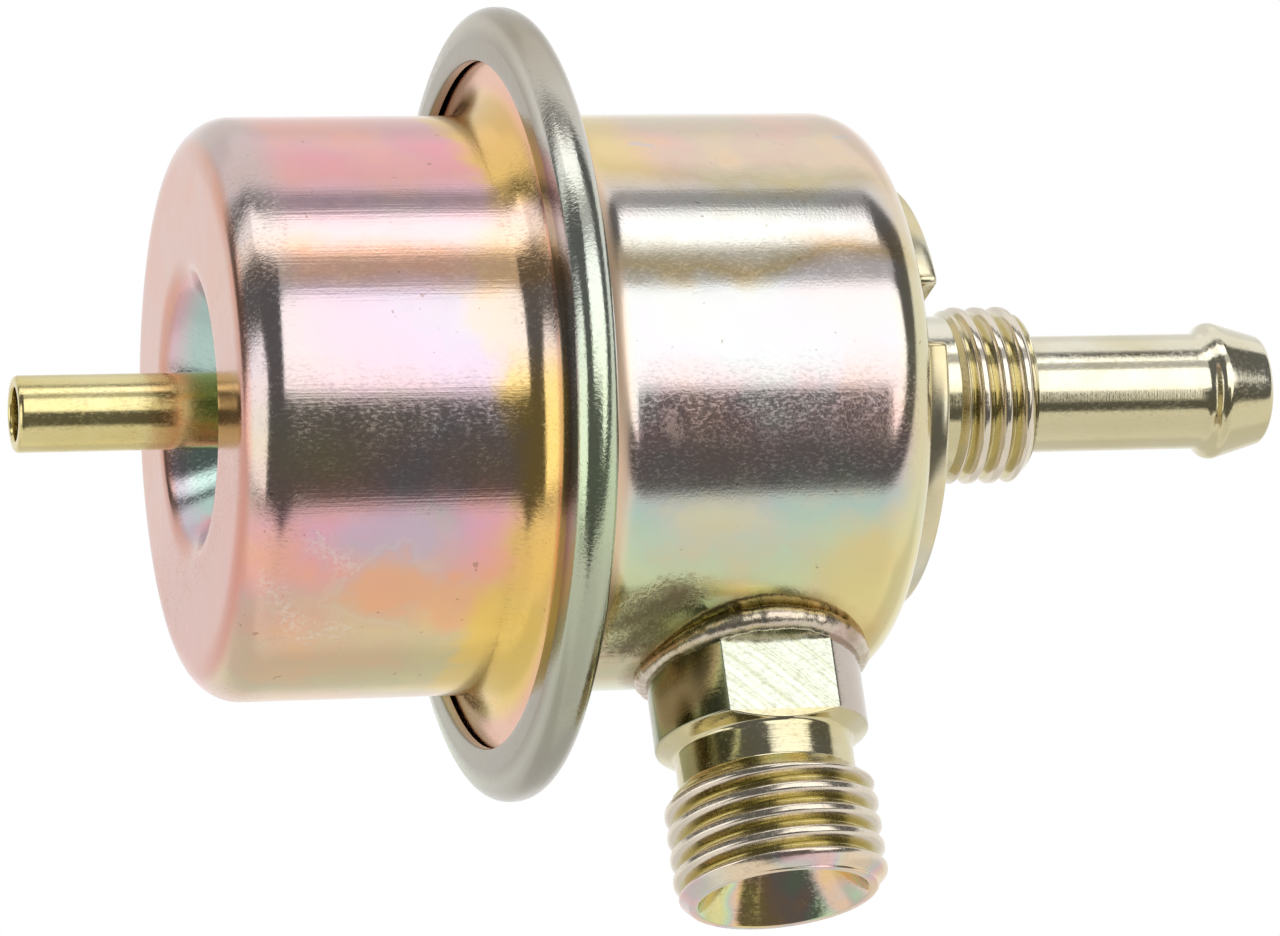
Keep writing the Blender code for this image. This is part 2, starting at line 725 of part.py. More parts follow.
def make_inlet_fitting(surface):
    """Fitting with a spigot, a collar with two wrench flats, a neck, a thread and a cone."""
    collar_start = chamber_inner_radius * math.cos(math.asin(collar_radius / cup_radius))
    body = [
        (collar_start, 0.0),
        (collar_start, collar_radius),
        (collar_end, collar_radius),
        (inlet_neck_start, inlet_neck_radius),
        (inlet_thread_start, inlet_neck_radius),
        (inlet_thread_start + inlet_thread_runout, inlet_thread_radius),
        (inlet_reach - inlet_end_chamfer, inlet_thread_radius),
        (inlet_reach, inlet_end_radius),
        (inlet_reach, 0.0),
    ]
    fitting = turned("inlet_fitting", body, medium_facets, surface, closed=False)
    turn_down(fitting)

    saddle_radius = cup_radius + 2.0 * seat_gap + weld_thickness
    length = 2.0 * (collar_radius + cutter_margin)
    cut(fitting, cylinder_guide(
        "collar_saddle_guide", saddle_radius, length, large_facets, (inlet_position, 0.0, 0.0)
    ))

    spigot_top = math.sqrt(chamber_inner_radius ** 2 - spigot_radius ** 2) - spigot_protrusion
    spigot_length = 0.5 * (saddle_radius + collar_end) - spigot_top
    spigot_middle = (inlet_position, 0.0, -spigot_top - 0.5 * spigot_length)
    cut(fitting, cylinder_guide(
        "spigot_guide", spigot_radius, spigot_length, medium_facets, spigot_middle, turn="Z"
    ), "UNION")

    half_flat = collar_radius - flat_depth
    reach = collar_radius + cutter_margin
    lowest = -inlet_thread_start
    for name, near, far in (
        ("front_flat_guide", -reach, -half_flat),
        ("rear_flat_guide", half_flat, reach),
    ):
        low = (inlet_position - reach, near, lowest)
        high = (inlet_position + reach, far, 0.0)
        cut(fitting, box_guide(name, low, high))

    cone_depth = (inlet_mouth_radius - inlet_bore_radius) / math.tan(inlet_cone_angle)
    overrun = inlet_mouth_radius + cutter_margin * math.tan(inlet_cone_angle)
    bore = [
        (spigot_top - cutter_margin, 0.0),
        (spigot_top - cutter_margin, inlet_bore_radius),
        (inlet_reach - cone_depth, inlet_bore_radius),
        (inlet_reach + cutter_margin, overrun),
        (inlet_reach + cutter_margin, 0.0),
    ]
    bore_guide = turned("inlet_bore_guide", bore, medium_facets, surface, closed=False)
    cut(fitting, make_guide(turn_down(bore_guide)))


def make_inlet_weld_ring(surface):
    """Weld between the collar and the chamber's wall, curved to the chamber."""
    inner_face = cup_radius + seat_gap
    outer_face = inner_face + weld_thickness
    profile = ring_profile(
        math.sqrt(cup_radius ** 2 - weld_outer_radius ** 2) - cutter_margin,
        outer_face + cutter_margin,
        spigot_radius + seat_gap,
        weld_outer_radius,
    )
    ring = turn_down(turned("inlet_weld_ring", profile, medium_facets, surface))
    middle = (inlet_position, 0.0, 0.0)
    length = 2.0 * (weld_outer_radius + cutter_margin)
    cut(ring, cylinder_guide(
        "weld_inner_guide", inner_face, length, large_facets, middle
    ))
    cut(ring, cylinder_guide(
        "weld_outer_guide", outer_face, length, large_facets, middle
    ), "INTERSECT")


def main():
    """Build every piece of the regulator."""
    clear_scene()
    housing_plating = material("pink_yellow_passivated_steel", (0.80, 0.62, 0.50), 1.0, 0.32)
    chamber_plating = material("pale_yellow_passivated_steel", (0.76, 0.71, 0.58), 1.0, 0.28)
    fitting_plating = material("olive_passivated_steel", (0.70, 0.64, 0.42), 1.0, 0.22)
    nipple_plating = material("yellow_passivated_tube", (0.72, 0.62, 0.32), 1.0, 0.25)
    plate_plating = material("passivated_plate", (0.74, 0.70, 0.52), 1.0, 0.35)
    weld_metal = material("weld_metal", (0.66, 0.58, 0.50), 1.0, 0.5)
    braze_metal = material("braze_copper", (0.72, 0.42, 0.28), 1.0, 0.4)
    spring_steel = material("oiled_spring_steel", (0.30, 0.30, 0.31), 1.0, 0.35)
    stamped_steel = material("bright_stamped_steel", (0.62, 0.62, 0.63), 1.0, 0.3)
    turned_steel = material("turned_steel", (0.66, 0.66, 0.67), 1.0, 0.22)
    hardened_steel = material("hardened_steel", (0.55, 0.56, 0.58), 1.0, 0.15)
    coated_fabric = material("rubber_coated_fabric", (0.05, 0.05, 0.055), 0.0, 0.7)

    make_spring_housing(housing_plating)
    make_vacuum_nipple(nipple_plating)
    make_nipple_braze_ring(braze_metal)
    make_upper_spring_seat(stamped_steel.copy())
    coil(
        "compression_spring", spring_mean_radius, spring_wire, spring_start, spring_end,
        spring_turns, spring_closed_turns, spring_steps_per_turn, spring_wire_facets,
        spring_steel,
    )
    make_spring_plate(stamped_steel)
    make_diaphragm(coated_fabric)
    make_support_washer(stamped_steel.copy())
    make_valve_holder(turned_steel)
    make_ball_spring(spring_steel.copy())
    make_ball_retainer(stamped_steel.copy())
    make_valve_ball(hardened_steel)
    make_valve_disc(hardened_steel.copy())
    make_valve_seat(hardened_steel.copy())
    make_fuel_chamber(chamber_plating)
    make_outlet_fitting(fitting_plating)
    make_outlet_braze_ring(braze_metal.copy())
    make_locating_plate(plate_plating)
    make_inlet_fitting(fitting_plating.copy())
    make_inlet_weld_ring(weld_metal)


main()
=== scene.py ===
import json
import math

import bmesh
import bpy
import numpy as np
from mathutils import Matrix, Vector

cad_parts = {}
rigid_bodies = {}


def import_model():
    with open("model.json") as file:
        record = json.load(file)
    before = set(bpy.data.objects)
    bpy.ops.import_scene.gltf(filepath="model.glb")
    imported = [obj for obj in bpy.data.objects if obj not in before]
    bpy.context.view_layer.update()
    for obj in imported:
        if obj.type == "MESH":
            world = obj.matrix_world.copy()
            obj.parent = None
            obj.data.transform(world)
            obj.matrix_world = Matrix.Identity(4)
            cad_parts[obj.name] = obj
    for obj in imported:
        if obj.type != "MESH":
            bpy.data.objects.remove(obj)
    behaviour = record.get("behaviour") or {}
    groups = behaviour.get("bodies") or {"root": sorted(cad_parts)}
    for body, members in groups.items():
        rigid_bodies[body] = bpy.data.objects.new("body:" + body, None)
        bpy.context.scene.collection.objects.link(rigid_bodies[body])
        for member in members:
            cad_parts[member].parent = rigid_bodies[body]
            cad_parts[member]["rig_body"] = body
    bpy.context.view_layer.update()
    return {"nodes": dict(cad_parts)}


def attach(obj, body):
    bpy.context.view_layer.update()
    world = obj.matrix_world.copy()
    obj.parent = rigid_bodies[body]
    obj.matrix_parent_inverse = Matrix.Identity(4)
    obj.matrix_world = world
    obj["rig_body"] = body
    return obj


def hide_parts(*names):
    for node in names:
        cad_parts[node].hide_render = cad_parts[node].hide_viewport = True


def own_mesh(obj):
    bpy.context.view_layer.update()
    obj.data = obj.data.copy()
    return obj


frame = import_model()

MM = 0.001
TURN = 2.0 * math.pi
QUARTER = 0.25 * TURN
INLET_X = -11.8 * MM  # where the inlet's axis crosses the main axis, which is X
CUP = 19.0 * MM  # outer radius of both cups
SHEET = 0.7 * MM  # their wall
COLLAR = 7.0 * MM  # radius of the inlet's collar
PITCH = 1.5 * MM  # of both threads
STRAIGHT = 1e-4  # a corner that turns less, in radians, is none
SAME_PLACE = 1e-9


# Mesh helpers

def in_mm(points):
    """Points given in mm, in metres."""
    return [tuple(value * MM for value in point) for point in points]


def rounded(points, closed=False, step=9.0):
    """Replace each corner (along, out, radius) of a line by an arc."""
    count = len(points)
    line = []
    for index, (along, out, radius) in enumerate(points):
        here = Vector((along, out))
        if radius <= 0.0 or (not closed and index in (0, count - 1)):
            line.append(here)
            continue
        before = Vector(points[index - 1][:2]) - here
        after = Vector(points[(index + 1) % count][:2]) - here
        before.normalize()
        after.normalize()
        turn = math.pi - before.angle(after)
        if turn < STRAIGHT:
            line.append(here)
            continue
        reach = radius * math.tan(0.5 * turn)
        middle = (before + after).normalized()
        centre = here + middle * (radius / math.cos(0.5 * turn))
        start = here + before * reach - centre
        pieces = max(2, math.ceil(math.degrees(turn) / step))
        side = 1.0 if start.y * before.x > start.x * before.y else -1.0
        for piece in range(pieces + 1):
            angle = side * turn * piece / pieces
            cos, sin = math.cos(angle), math.sin(angle)
            line.append(centre + Vector((start.x * cos - start.y * sin, start.x * sin + start.y * cos)))
    return line


def spaced(line, gap, closed=False):
    """Add points so that none are further apart than gap."""
    made = []
    for here, there in zip(line, line[1:] + (line[:1] if closed else [])):
        pieces = max(1, math.ceil((there - here).length / gap))
        made += [here.lerp(there, piece / pieces) for piece in range(pieces)]
    if not closed:
        made.append(line[-1])
    return made


def offset(line, distance):
    """The line moved to its right by distance."""
    made = []
    for index, here in enumerate(line):
        way = Vector((0.0, 0.0))
        for step in (line[min(index + 1, len(line) - 1)] - here, here - line[max(index - 1, 0)]):
            if step.length > SAME_PLACE:
                way += step.normalized()
        way.normalize()
        made.append(here + Vector((way.y, -way.x)) * distance)
    return made


def new_object(name, data):
    """An object of this mesh or camera, in the scene."""
    made = bpy.data.objects.new(name, data)
    bpy.context.scene.collection.objects.link(made)
    return made


def mesh_object(name, verts, faces, body="housing"):
    """A smooth mesh that rides on the body."""
    mesh = bpy.data.meshes.new(name)
    mesh.from_pydata([tuple(v) for v in verts], [], [tuple(f) for f in faces])
    shape = bmesh.new()
    shape.from_mesh(mesh)
    bmesh.ops.recalc_face_normals(shape, faces=shape.faces)
    shape.to_mesh(mesh)
    shape.free()
    mesh.shade_smooth()
    made = new_object(name, mesh)
    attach(made, body)
    return made


def skin(name, rings, place, angles, body="housing"):
    """A closed skin through rings of (along, out), each a number or an array over the angles.

    place turns (along, out, angle) into points. The first and last ring are joined too.
    """
    count = len(angles)
    verts = []
    for along, out in rings:
        along = np.broadcast_to(along, (count,))
        out = np.broadcast_to(out, (count,))
        verts.append(place(along, out, angles))
    verts = np.concatenate(verts)
    total = len(rings)
    index = np.arange(total * count).reshape(total, count)
    right = np.roll(index, -1, axis=1)
    faces = np.stack(
        [index, right, np.roll(right, -1, axis=0), np.roll(index, -1, axis=0)], axis=-1
    ).reshape(-1, 4)
    return mesh_object(name, verts, faces, body)


def main_axis(along, out, angle):
    """Angle 0 is up and a quarter turn is towards -Y."""
    return np.stack([along, -out * np.sin(angle), out * np.cos(angle)], axis=-1)


def inlet_axis(along, out, angle):
    """along is the distance below the main axis. Angle 0 is +X and a quarter turn is -Y."""
    return np.stack([INLET_X + out * np.cos(angle), -out * np.sin(angle), -along], axis=-1)


def frame_body(node):
    """The body that a node of the frame moves with."""
    return frame["nodes"][node]["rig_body"]


def even(count):
    """Angles evenly round a full turn."""
    return np.linspace(0.0, TURN, count, endpoint=False)


def sheet_loop(face, thickness, gap):
    """Closed section of a bent sheet from the line of its outer face. Its cut edges are rounded."""
    edge_radius = 0.12 * MM
    line = rounded(face, step=7.0)
    loop = line + offset(line, thickness)[::-1]
    points = [(p.x, p.y, 0.0) for p in loop]
    for corner in (0, len(line) - 1, len(line), len(loop) - 1):
        points[corner] = (*points[corner][:2], edge_radius)
    return spaced(rounded(points, closed=True, step=30.0), gap, closed=True)


def soft_low(a, b, k):
    """The lower of a and b, with a rounded change of size k."""
    h = np.clip(0.5 + 0.5 * (b - a) / k, 0.0, 1.0)
    return b + (a - b) * h - k * h * (1.0 - h)


def ease(value, low, high):
    """0 below low, 1 above high, and a smooth rise between."""
    share = np.clip((value - low) / (high - low), 0.0, 1.0)
    return share * share * (3.0 - 2.0 * share)


def thread(along, angle, crest_at, crest, depth):
    """Radius of a right-handed thread with rounded crests and roots.

    A crest of radius crest crosses angle 0 at crest_at. The groove is depth deep.
    """
    crest_half, flank, soft = 0.3 * MM, 0.4 * MM, 0.5
    phase = (along - crest_at) / PITCH - angle / TURN
    away = np.abs((phase + 0.5) % 1.0 - 0.5) * PITCH
    share = (away - crest_half) / flank
    low = np.where(share < -soft, 0.0, (share + soft) ** 2 / (4.0 * soft))
    share = np.where(share > soft, share, low)
    high = np.where(share > 1.0 + soft, 1.0, share - (share - 1.0 + soft) ** 2 / (4.0 * soft))
    share = np.where(share < 1.0 - soft, share, high)
    return crest - depth * share


def thread_rings(angles, levels, crest_at, crest, depth, fade, start, end):
    """Rings of a thread at levels (first, last, step), with a chamfer at each end.

    The groove fades in over fade. start and end are chamfers, each (place, radius, slope, softness).
    """
    start_at, start_radius, start_slope, start_soft = start
    end_at, end_radius, end_slope, end_soft = end
    rings = []
    for along in np.arange(*levels):
        groove = thread(along, angles, crest_at, crest, depth)
        groove = crest + (groove - crest) * ease(along, *fade)
        rise = start_radius + max(0.0, along - start_at) * start_slope
        fall = end_radius + (end_at - along) * end_slope
        rings.append((along, soft_low(soft_low(groove, rise, start_soft), fall, end_soft)))
    return rings


# The pieces

def make_spring_housing():
    """Drawn cup with a flange and, round the nipple, a recess."""
    face = in_mm([
        (-27.3, 24.5, 0.0), (-27.3, 19.0, 2.6), (-47.4, 19.0, 3.0), (-47.4, 8.83, 2.2), (-42.4, 5.943, 1.5),
        (-42.4, 2.8, 0.0),
    ])
    made = skin("housing_cup", sheet_loop(face, -SHEET, 0.6 * MM), main_axis, even(256))
    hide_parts("spring_housing")
    return made


def cut_inlet_hole(cup):
    """Cut the inlet's hole through the side of the cup."""
    radius = 4.9 * MM
    mesh = bpy.data.meshes.new("cutter")
    shape = bmesh.new()
    bmesh.ops.create_cone(
        shape, cap_ends=True, segments=96, radius1=radius, radius2=radius, depth=12.0 * MM
    )
    shape.to_mesh(mesh)
    shape.free()
    cutter = new_object("cutter", mesh)
    cutter.location = (INLET_X, 0.0, -18.0 * MM)
    step = cup.modifiers.new("inlet_hole", "BOOLEAN")
    step.object = cutter
    step.solver = "EXACT"
    bpy.context.view_layer.update()
    whole = cup.evaluated_get(bpy.context.evaluated_depsgraph_get())
    cut = bpy.data.meshes.new_from_object(whole)
    cup.modifiers.clear()
    cup.data = cut
    cup.data.shade_smooth()
    bpy.data.objects.remove(cutter)


def make_fuel_chamber():
    """Drawn cup whose edge is rolled over the housing's flange."""
    face = in_mm([
        (-28.2, 22.6, 0.0), (-28.15, 24.1, 0.25), (-27.75, 26.1, 1.2), (-25.2, 26.1, 1.35),
        (-25.2, 19.0, 3.0), (-1.9, 19.0, 3.5), (-1.9, 5.65, 0.0),
    ])
    made = skin("chamber_cup", sheet_loop(face, SHEET, 0.5 * MM), main_axis, even(288))
    cut_inlet_hole(made)
    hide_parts("fuel_chamber")
    return made


def plate_outline(inset):
    """Outline of the notched plate, drawn in by inset. Returned as (y, z)."""
    radius, notch_half, notch_floor = 14.2 * MM - inset, 2.0 * MM + inset, -9.2 * MM + inset
    floor_round, mouth_round = 0.5 * MM + inset, max(0.45 * MM - inset, 0.02 * MM)
    start = math.asin(notch_half / radius)
    line = [
        (-radius * math.cos(angle), radius * math.sin(angle), 0.0)
        for angle in np.linspace(start, TURN - start, 200)
    ]
    line[0] = (*line[0][:2], mouth_round)
    line[-1] = (*line[-1][:2], mouth_round)
    # the notch's rounded mouth needs room, so the points beside it go
    room = 0.6 * MM
    for index in (1, 2, 3, -2, -3, -4):
        if math.dist(line[index][:2], line[0 if index > 0 else -1][:2]) < room:
            line[index] = None
    line = [point for point in line if point is not None]
    line += [(notch_floor, -notch_half, floor_round), (notch_floor, notch_half, floor_round)]
    return rounded(line, closed=True, step=15.0)


def make_locating_plate():
    """Notched disc with a hole, its outer edge rounded."""
    edge_radius = 0.25 * MM
    levels = in_mm([(-1.6, 0.15), (-1.45, 0.0)])
    for turn in np.linspace(0.0, QUARTER, 5):
        levels.append((-edge_radius * (1.0 - math.sin(turn)), edge_radius * (1.0 - math.cos(turn))))
    shape = bmesh.new()
    rims = [
        [shape.verts.new((along, p.x, p.y)) for p in plate_outline(inset)] for along, inset in levels
    ]
    holes = [
        [shape.verts.new((along, out * math.cos(angle), out * math.sin(angle))) for angle in even(96)]
        for along, out in in_mm([(-1.6, 5.75), (-1.5, 5.65), (-0.1, 5.65), (0.0, 5.75)])
    ]
    for rings in (rims, holes):
        for here, there in zip(rings, rings[1:]):
            for index in range(len(here)):
                after = (index + 1) % len(here)
                shape.faces.new((here[index], here[after], there[after], there[index]))
    for side in (0, -1):
        edges = []
        for ring in (rims[side], holes[side]):
            for pair in zip(ring, ring[1:] + ring[:1]):
                edges.append(shape.edges.get(pair) or shape.edges.new(pair))
        bmesh.ops.triangle_fill(shape, use_beauty=True, edges=edges)
    bmesh.ops.recalc_face_normals(shape, faces=shape.faces)
    mesh = bpy.data.meshes.new("notched_plate")
    shape.to_mesh(mesh)
    shape.free()
    mesh.shade_smooth()
    mesh.set_sharp_from_angle(angle=math.radians(50))
    made = new_object("notched_plate", mesh)
    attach(made, "housing")
    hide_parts("locating_plate")
    return made


def make_nipple():
    """Plain tube, its mouth's edges rounded."""
    section = in_mm([(-41.7, 1.75, 0.0), (-41.7, 2.5, 0.0), (-58.8, 2.5, 0.32), (-58.8, 1.75, 0.18)])
    rings = spaced(rounded(section, closed=True, step=15.0), 0.6 * MM, closed=True)
    made = skin("vacuum_tube", rings, main_axis, even(96))
    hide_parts("vacuum_nipple")
    return made


def make_nipple_braze():
    """Fillet of braze between the recess's floor and the nipple, with an uneven edge."""
    floor, inner, outer = -42.45 * MM, 2.45 * MM, 4.05 * MM
    width, height, steps = 1.55 * MM, 1.3 * MM, 8
    angles = even(96)
    wander = 0.12 * MM * np.sin(3 * angles + 0.6) + 0.06 * MM * np.sin(7 * angles)
    rings = [(floor, inner), (floor, outer + wander)]
    for step in range(1, steps + 1):
        turn = QUARTER * step / steps
        out = outer + wander - (width + wander) * math.sin(turn)
        rings.append((floor - height * (1.0 - math.cos(turn)), out))
    rings.append((-43.9 * MM, inner))
    made = skin("nipple_braze", rings, main_axis, angles)
    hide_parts("nipple_braze_ring")
    return made


def make_outlet():
    """Turned fitting: stem, plain back, thread, hose nipple and barb."""
    angles = even(192)
    stem = in_mm([
        (-11.5, 2.6, 0.0), (-11.5, 4.2, 0.1), (-14.8, 4.2, 0.1), (-14.8, 5.35, 0.2), (3.3, 5.35, 0.0),
    ])
    rings = spaced(rounded(stem), 0.6 * MM)
    rings += thread_rings(
        angles, (3.35 * MM, 9.16 * MM, 0.04 * MM), crest_at=4.84 * MM, crest=5.93 * MM, depth=0.9 * MM,
        fade=(3.9 * MM, 4.7 * MM), start=(3.75 * MM, 5.35 * MM, 1.0, 0.12 * MM),
        end=(9.2 * MM, 5.2 * MM, 1.0, 0.15 * MM),
    )
    nose = in_mm([
        (9.2, 5.2, 0.0), (9.2, 3.9, 0.15), (22.0, 3.9, 0.9), (22.75, 4.72, 0.75), (26.5, 3.62, 0.5),
        (26.5, 2.6, 0.3), (-11.5, 2.6, 0.0),
    ])
    rings += spaced(rounded(nose, step=8.0), 0.5 * MM)[:-1]
    made = skin("outlet_fitting_turned", rings, main_axis, angles)
    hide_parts("outlet_fitting")
    return made


def make_inlet():
    """Turned fitting whose collar has two milled flats and stands on the chamber's side."""
    flat, seat = 5.95 * MM, 19.35 * MM
    flat_edge = math.asin(flat / COLLAR)
    near = np.radians(np.linspace(-2.2, 2.2, 13))
    angles = [even(240)]
    for middle in (flat_edge, math.pi - flat_edge, math.pi + flat_edge, TURN - flat_edge):
        angles.append(middle + near)
    angles = np.unique(np.round(np.concatenate(angles) % TURN, 6))
    limit = flat / np.maximum(np.abs(np.sin(angles)), 0.2)

    def collar(radius):
        """The radius over the angles, cut by the flats if it reaches them."""
        low = soft_low(np.full_like(limit, radius), limit, 0.05 * MM)
        return np.where(radius > flat - 0.3 * MM, low, radius)

    def saddle(radius):
        """Distance below the main axis of a ring that lies on the round seat."""
        return np.sqrt(seat ** 2 - (radius * np.sin(angles)) ** 2)

    foot, bore, inner_end = 23.95 * MM, 3.0 * MM, 17.41 * MM
    rings = [(inner_end, bore), (inner_end, 4.6 * MM)]
    rings += [(saddle(radius), radius) for radius in (4.6 * MM, 5.4 * MM, 6.2 * MM)]
    top = saddle(collar(COLLAR))
    rings += [(top + (foot - top) * share, collar(COLLAR)) for share in np.linspace(0, 1, 24)]
    neck = in_mm([(23.9, 7.0, 0.0), (24.08, 7.0, 0.16), (24.72, 5.8, 0.42), (27.1, 5.8, 0.0)])
    rings += [(p.x, collar(p.y)) for p in spaced(rounded(neck, step=10.0), 0.12 * MM)[1:]]
    rings += thread_rings(
        angles, (27.15 * MM, 34.92 * MM, 0.05 * MM), crest_at=27.75 * MM, crest=6.93 * MM, depth=0.92 * MM,
        fade=(27.0 * MM, 28.0 * MM), start=(27.1 * MM, 5.8 * MM, 1.1, 0.15 * MM),
        end=(34.95 * MM, 6.1 * MM, 0.95, 0.3 * MM),
    )
    mouth = in_mm([(34.95, 6.05, 0.0), (34.95, 5.6, 0.12), (30.45, 3.0, 0.1), (17.41, 3.0, 0.0)])
    rings += spaced(rounded(mouth), 0.5 * MM)[:-1]
    made = skin("inlet_fitting_turned", rings, inlet_axis, angles)
    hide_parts("inlet_fitting")
    return made


def make_weld():
    """Bead along the saddle line between collar and chamber."""
    sides = 28
    angles = even(320)
    phases = np.random.default_rng(7).uniform(0.0, TURN, 12)
    across = np.abs(np.sin(angles))
    out = COLLAR + 0.12 * MM
    drop = (0.05 + 0.55 * across ** 2) * MM
    radius = (0.62 + 0.2 * across ** 2) * MM
    for order, phase in zip((5, 9, 14, 23, 37, 61), phases):
        radius += 0.03 * MM * np.sin(order * angles + phase) / math.sqrt(order / 5)
    along = np.sqrt(CUP ** 2 - (COLLAR * np.sin(angles)) ** 2) + drop
    rings = []
    for side in range(sides):
        turn = TURN * side / sides
        here = radius + 0.008 * MM * np.sin(47 * angles + 3.1 * math.sin(turn) + phases[7])
        rings.append((along - here * math.sin(turn), out + here * math.cos(turn)))
    made = skin("inlet_weld_bead", rings, inlet_axis, angles)
    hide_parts("inlet_weld_ring")
    return made


def make_compression_spring():
    """Coil along the axis with one closed turn at each end, the ends' wire ground flat."""
    first, last, turns, wire, mean = -40.2 * MM, -27.5 * MM, 3.75, 2.2 * MM, 12.2 * MM
    closed, ground = 2.45 * MM, 0.45 * wire
    pitch = (last - first - 2.0 * closed) / (turns - 2.0)
    count, sides = 300, 20
    turn = np.linspace(0.0, turns, count)
    along = np.where(turn < 1.0, first + closed * turn, first + closed + pitch * (turn - 1.0))
    along = np.where(turn > turns - 1.0, last - closed * (turns - turn), along)
    verts = []
    for centre, angle in zip(along, turn * TURN):
        around = even(sides)
        out = mean + 0.5 * wire * np.cos(around)
        here = np.clip(centre + 0.5 * wire * np.sin(around), first - ground, last + ground)
        verts.append(np.stack([here, out * math.cos(angle), out * math.sin(angle)], axis=-1))
    index = np.arange(count * sides).reshape(count, sides)
    right = np.roll(index, -1, axis=1)
    faces = np.stack([index[:-1], right[:-1], right[1:], index[1:]], axis=-1).reshape(-1, 4)
    faces = [tuple(f) for f in faces] + [tuple(index[0]), tuple(index[-1])]
    made = mesh_object("coil_spring", np.concatenate(verts), faces, frame_body("compression_spring"))
    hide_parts("compression_spring")
    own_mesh(made)
    return made


def make_diaphragm():
    """Thin cloth-backed disc with one rolling loop."""
    share = np.linspace(0.0, 1.0, 40)
    clamped, riveted, depth, half_sheet = -26.25, -24.65, 1.2, 0.15 * MM
    loop = clamped + (riveted - clamped) * ease(share, 0.0, 1.0) - depth * np.sin(math.pi * share)
    line = in_mm([(clamped, 24.6), *zip(loop, 18.6 - 3.5 * share), (riveted, 3.5)])
    line = spaced([Vector(point) for point in line], 0.8 * MM)
    rings = [(p.x + half_sheet, p.y) for p in line] + [(p.x - half_sheet, p.y) for p in line[::-1]]
    made = skin("rolling_diaphragm", rings, main_axis, even(160), frame_body("diaphragm"))
    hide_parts("diaphragm")
    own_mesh(made)
    return made


# Materials

class Graph:
    """Short calls for building a node tree. Values are numbers or sockets."""

    def __init__(self, tree):
        self.tree = tree

    def add(self, kind, **settings):
        node = self.tree.nodes.new(kind)
        for key, value in settings.items():
            setattr(node, key, value)
        return node

    def put(self, socket, value):
        """Link a socket, or set a number or colour."""
        if isinstance(value, bpy.types.NodeSocket):
            self.tree.links.new(value, socket)
        elif isinstance(value, (tuple, list)) and len(value) == 3 and socket.type == "RGBA":
            socket.default_value = (*value, 1.0)
        else:
            socket.default_value = value

    def math(self, kind, a, b=None, c=None, clamp=False):
        node = self.add("ShaderNodeMath", operation=kind, use_clamp=clamp)
        for socket, value in zip(node.inputs, (a, b, c)):
            if value is not None:
                self.put(socket, value)
        return node.outputs[0]

    def sum(self, a, b):
        return self.math("ADD", a, b)

    def minus(self, a, b):
        return self.math("SUBTRACT", a, b)

    def times(self, a, b):
        return self.math("MULTIPLY", a, b)

    def plus(self, value, scale, base):
        """base plus scale times value"""
        return self.math("MULTIPLY_ADD", value, scale, base)

    def least(self, a, b):
        return self.math("MINIMUM", a, b)

    def most(self, a, b):
        return self.math("MAXIMUM", a, b)

    def length(self, a, b):
        """Distance of the point (a, b) from 0."""
        return self.math("SQRT", self.sum(self.times(a, a), self.times(b, b)))

    def axes(self, place):
        """The place's x, y and z."""
        node = self.add("ShaderNodeSeparateXYZ")
        self.put(node.inputs[0], place)
        return node.outputs

    def span(self, value, low, high, to_low=0.0, to_high=1.0, smooth=True):
        """to_low up to low, to_high from high on. low may be above high."""
        node = self.add("ShaderNodeMapRange", interpolation_type="SMOOTHSTEP" if smooth else "LINEAR")
        for key, item in zip(
            ("Value", "From Min", "From Max", "To Min", "To Max"), (value, low, high, to_low, to_high)
        ):
            self.put(node.inputs[key], item)
        return node.outputs["Result"]

    def band(self, value, start, full, still, gone, peak=1.0):
        """0 before start, peak from full to still, 0 after gone."""
        return self.times(self.span(value, start, full), self.span(value, gone, still, 0.0, peak))


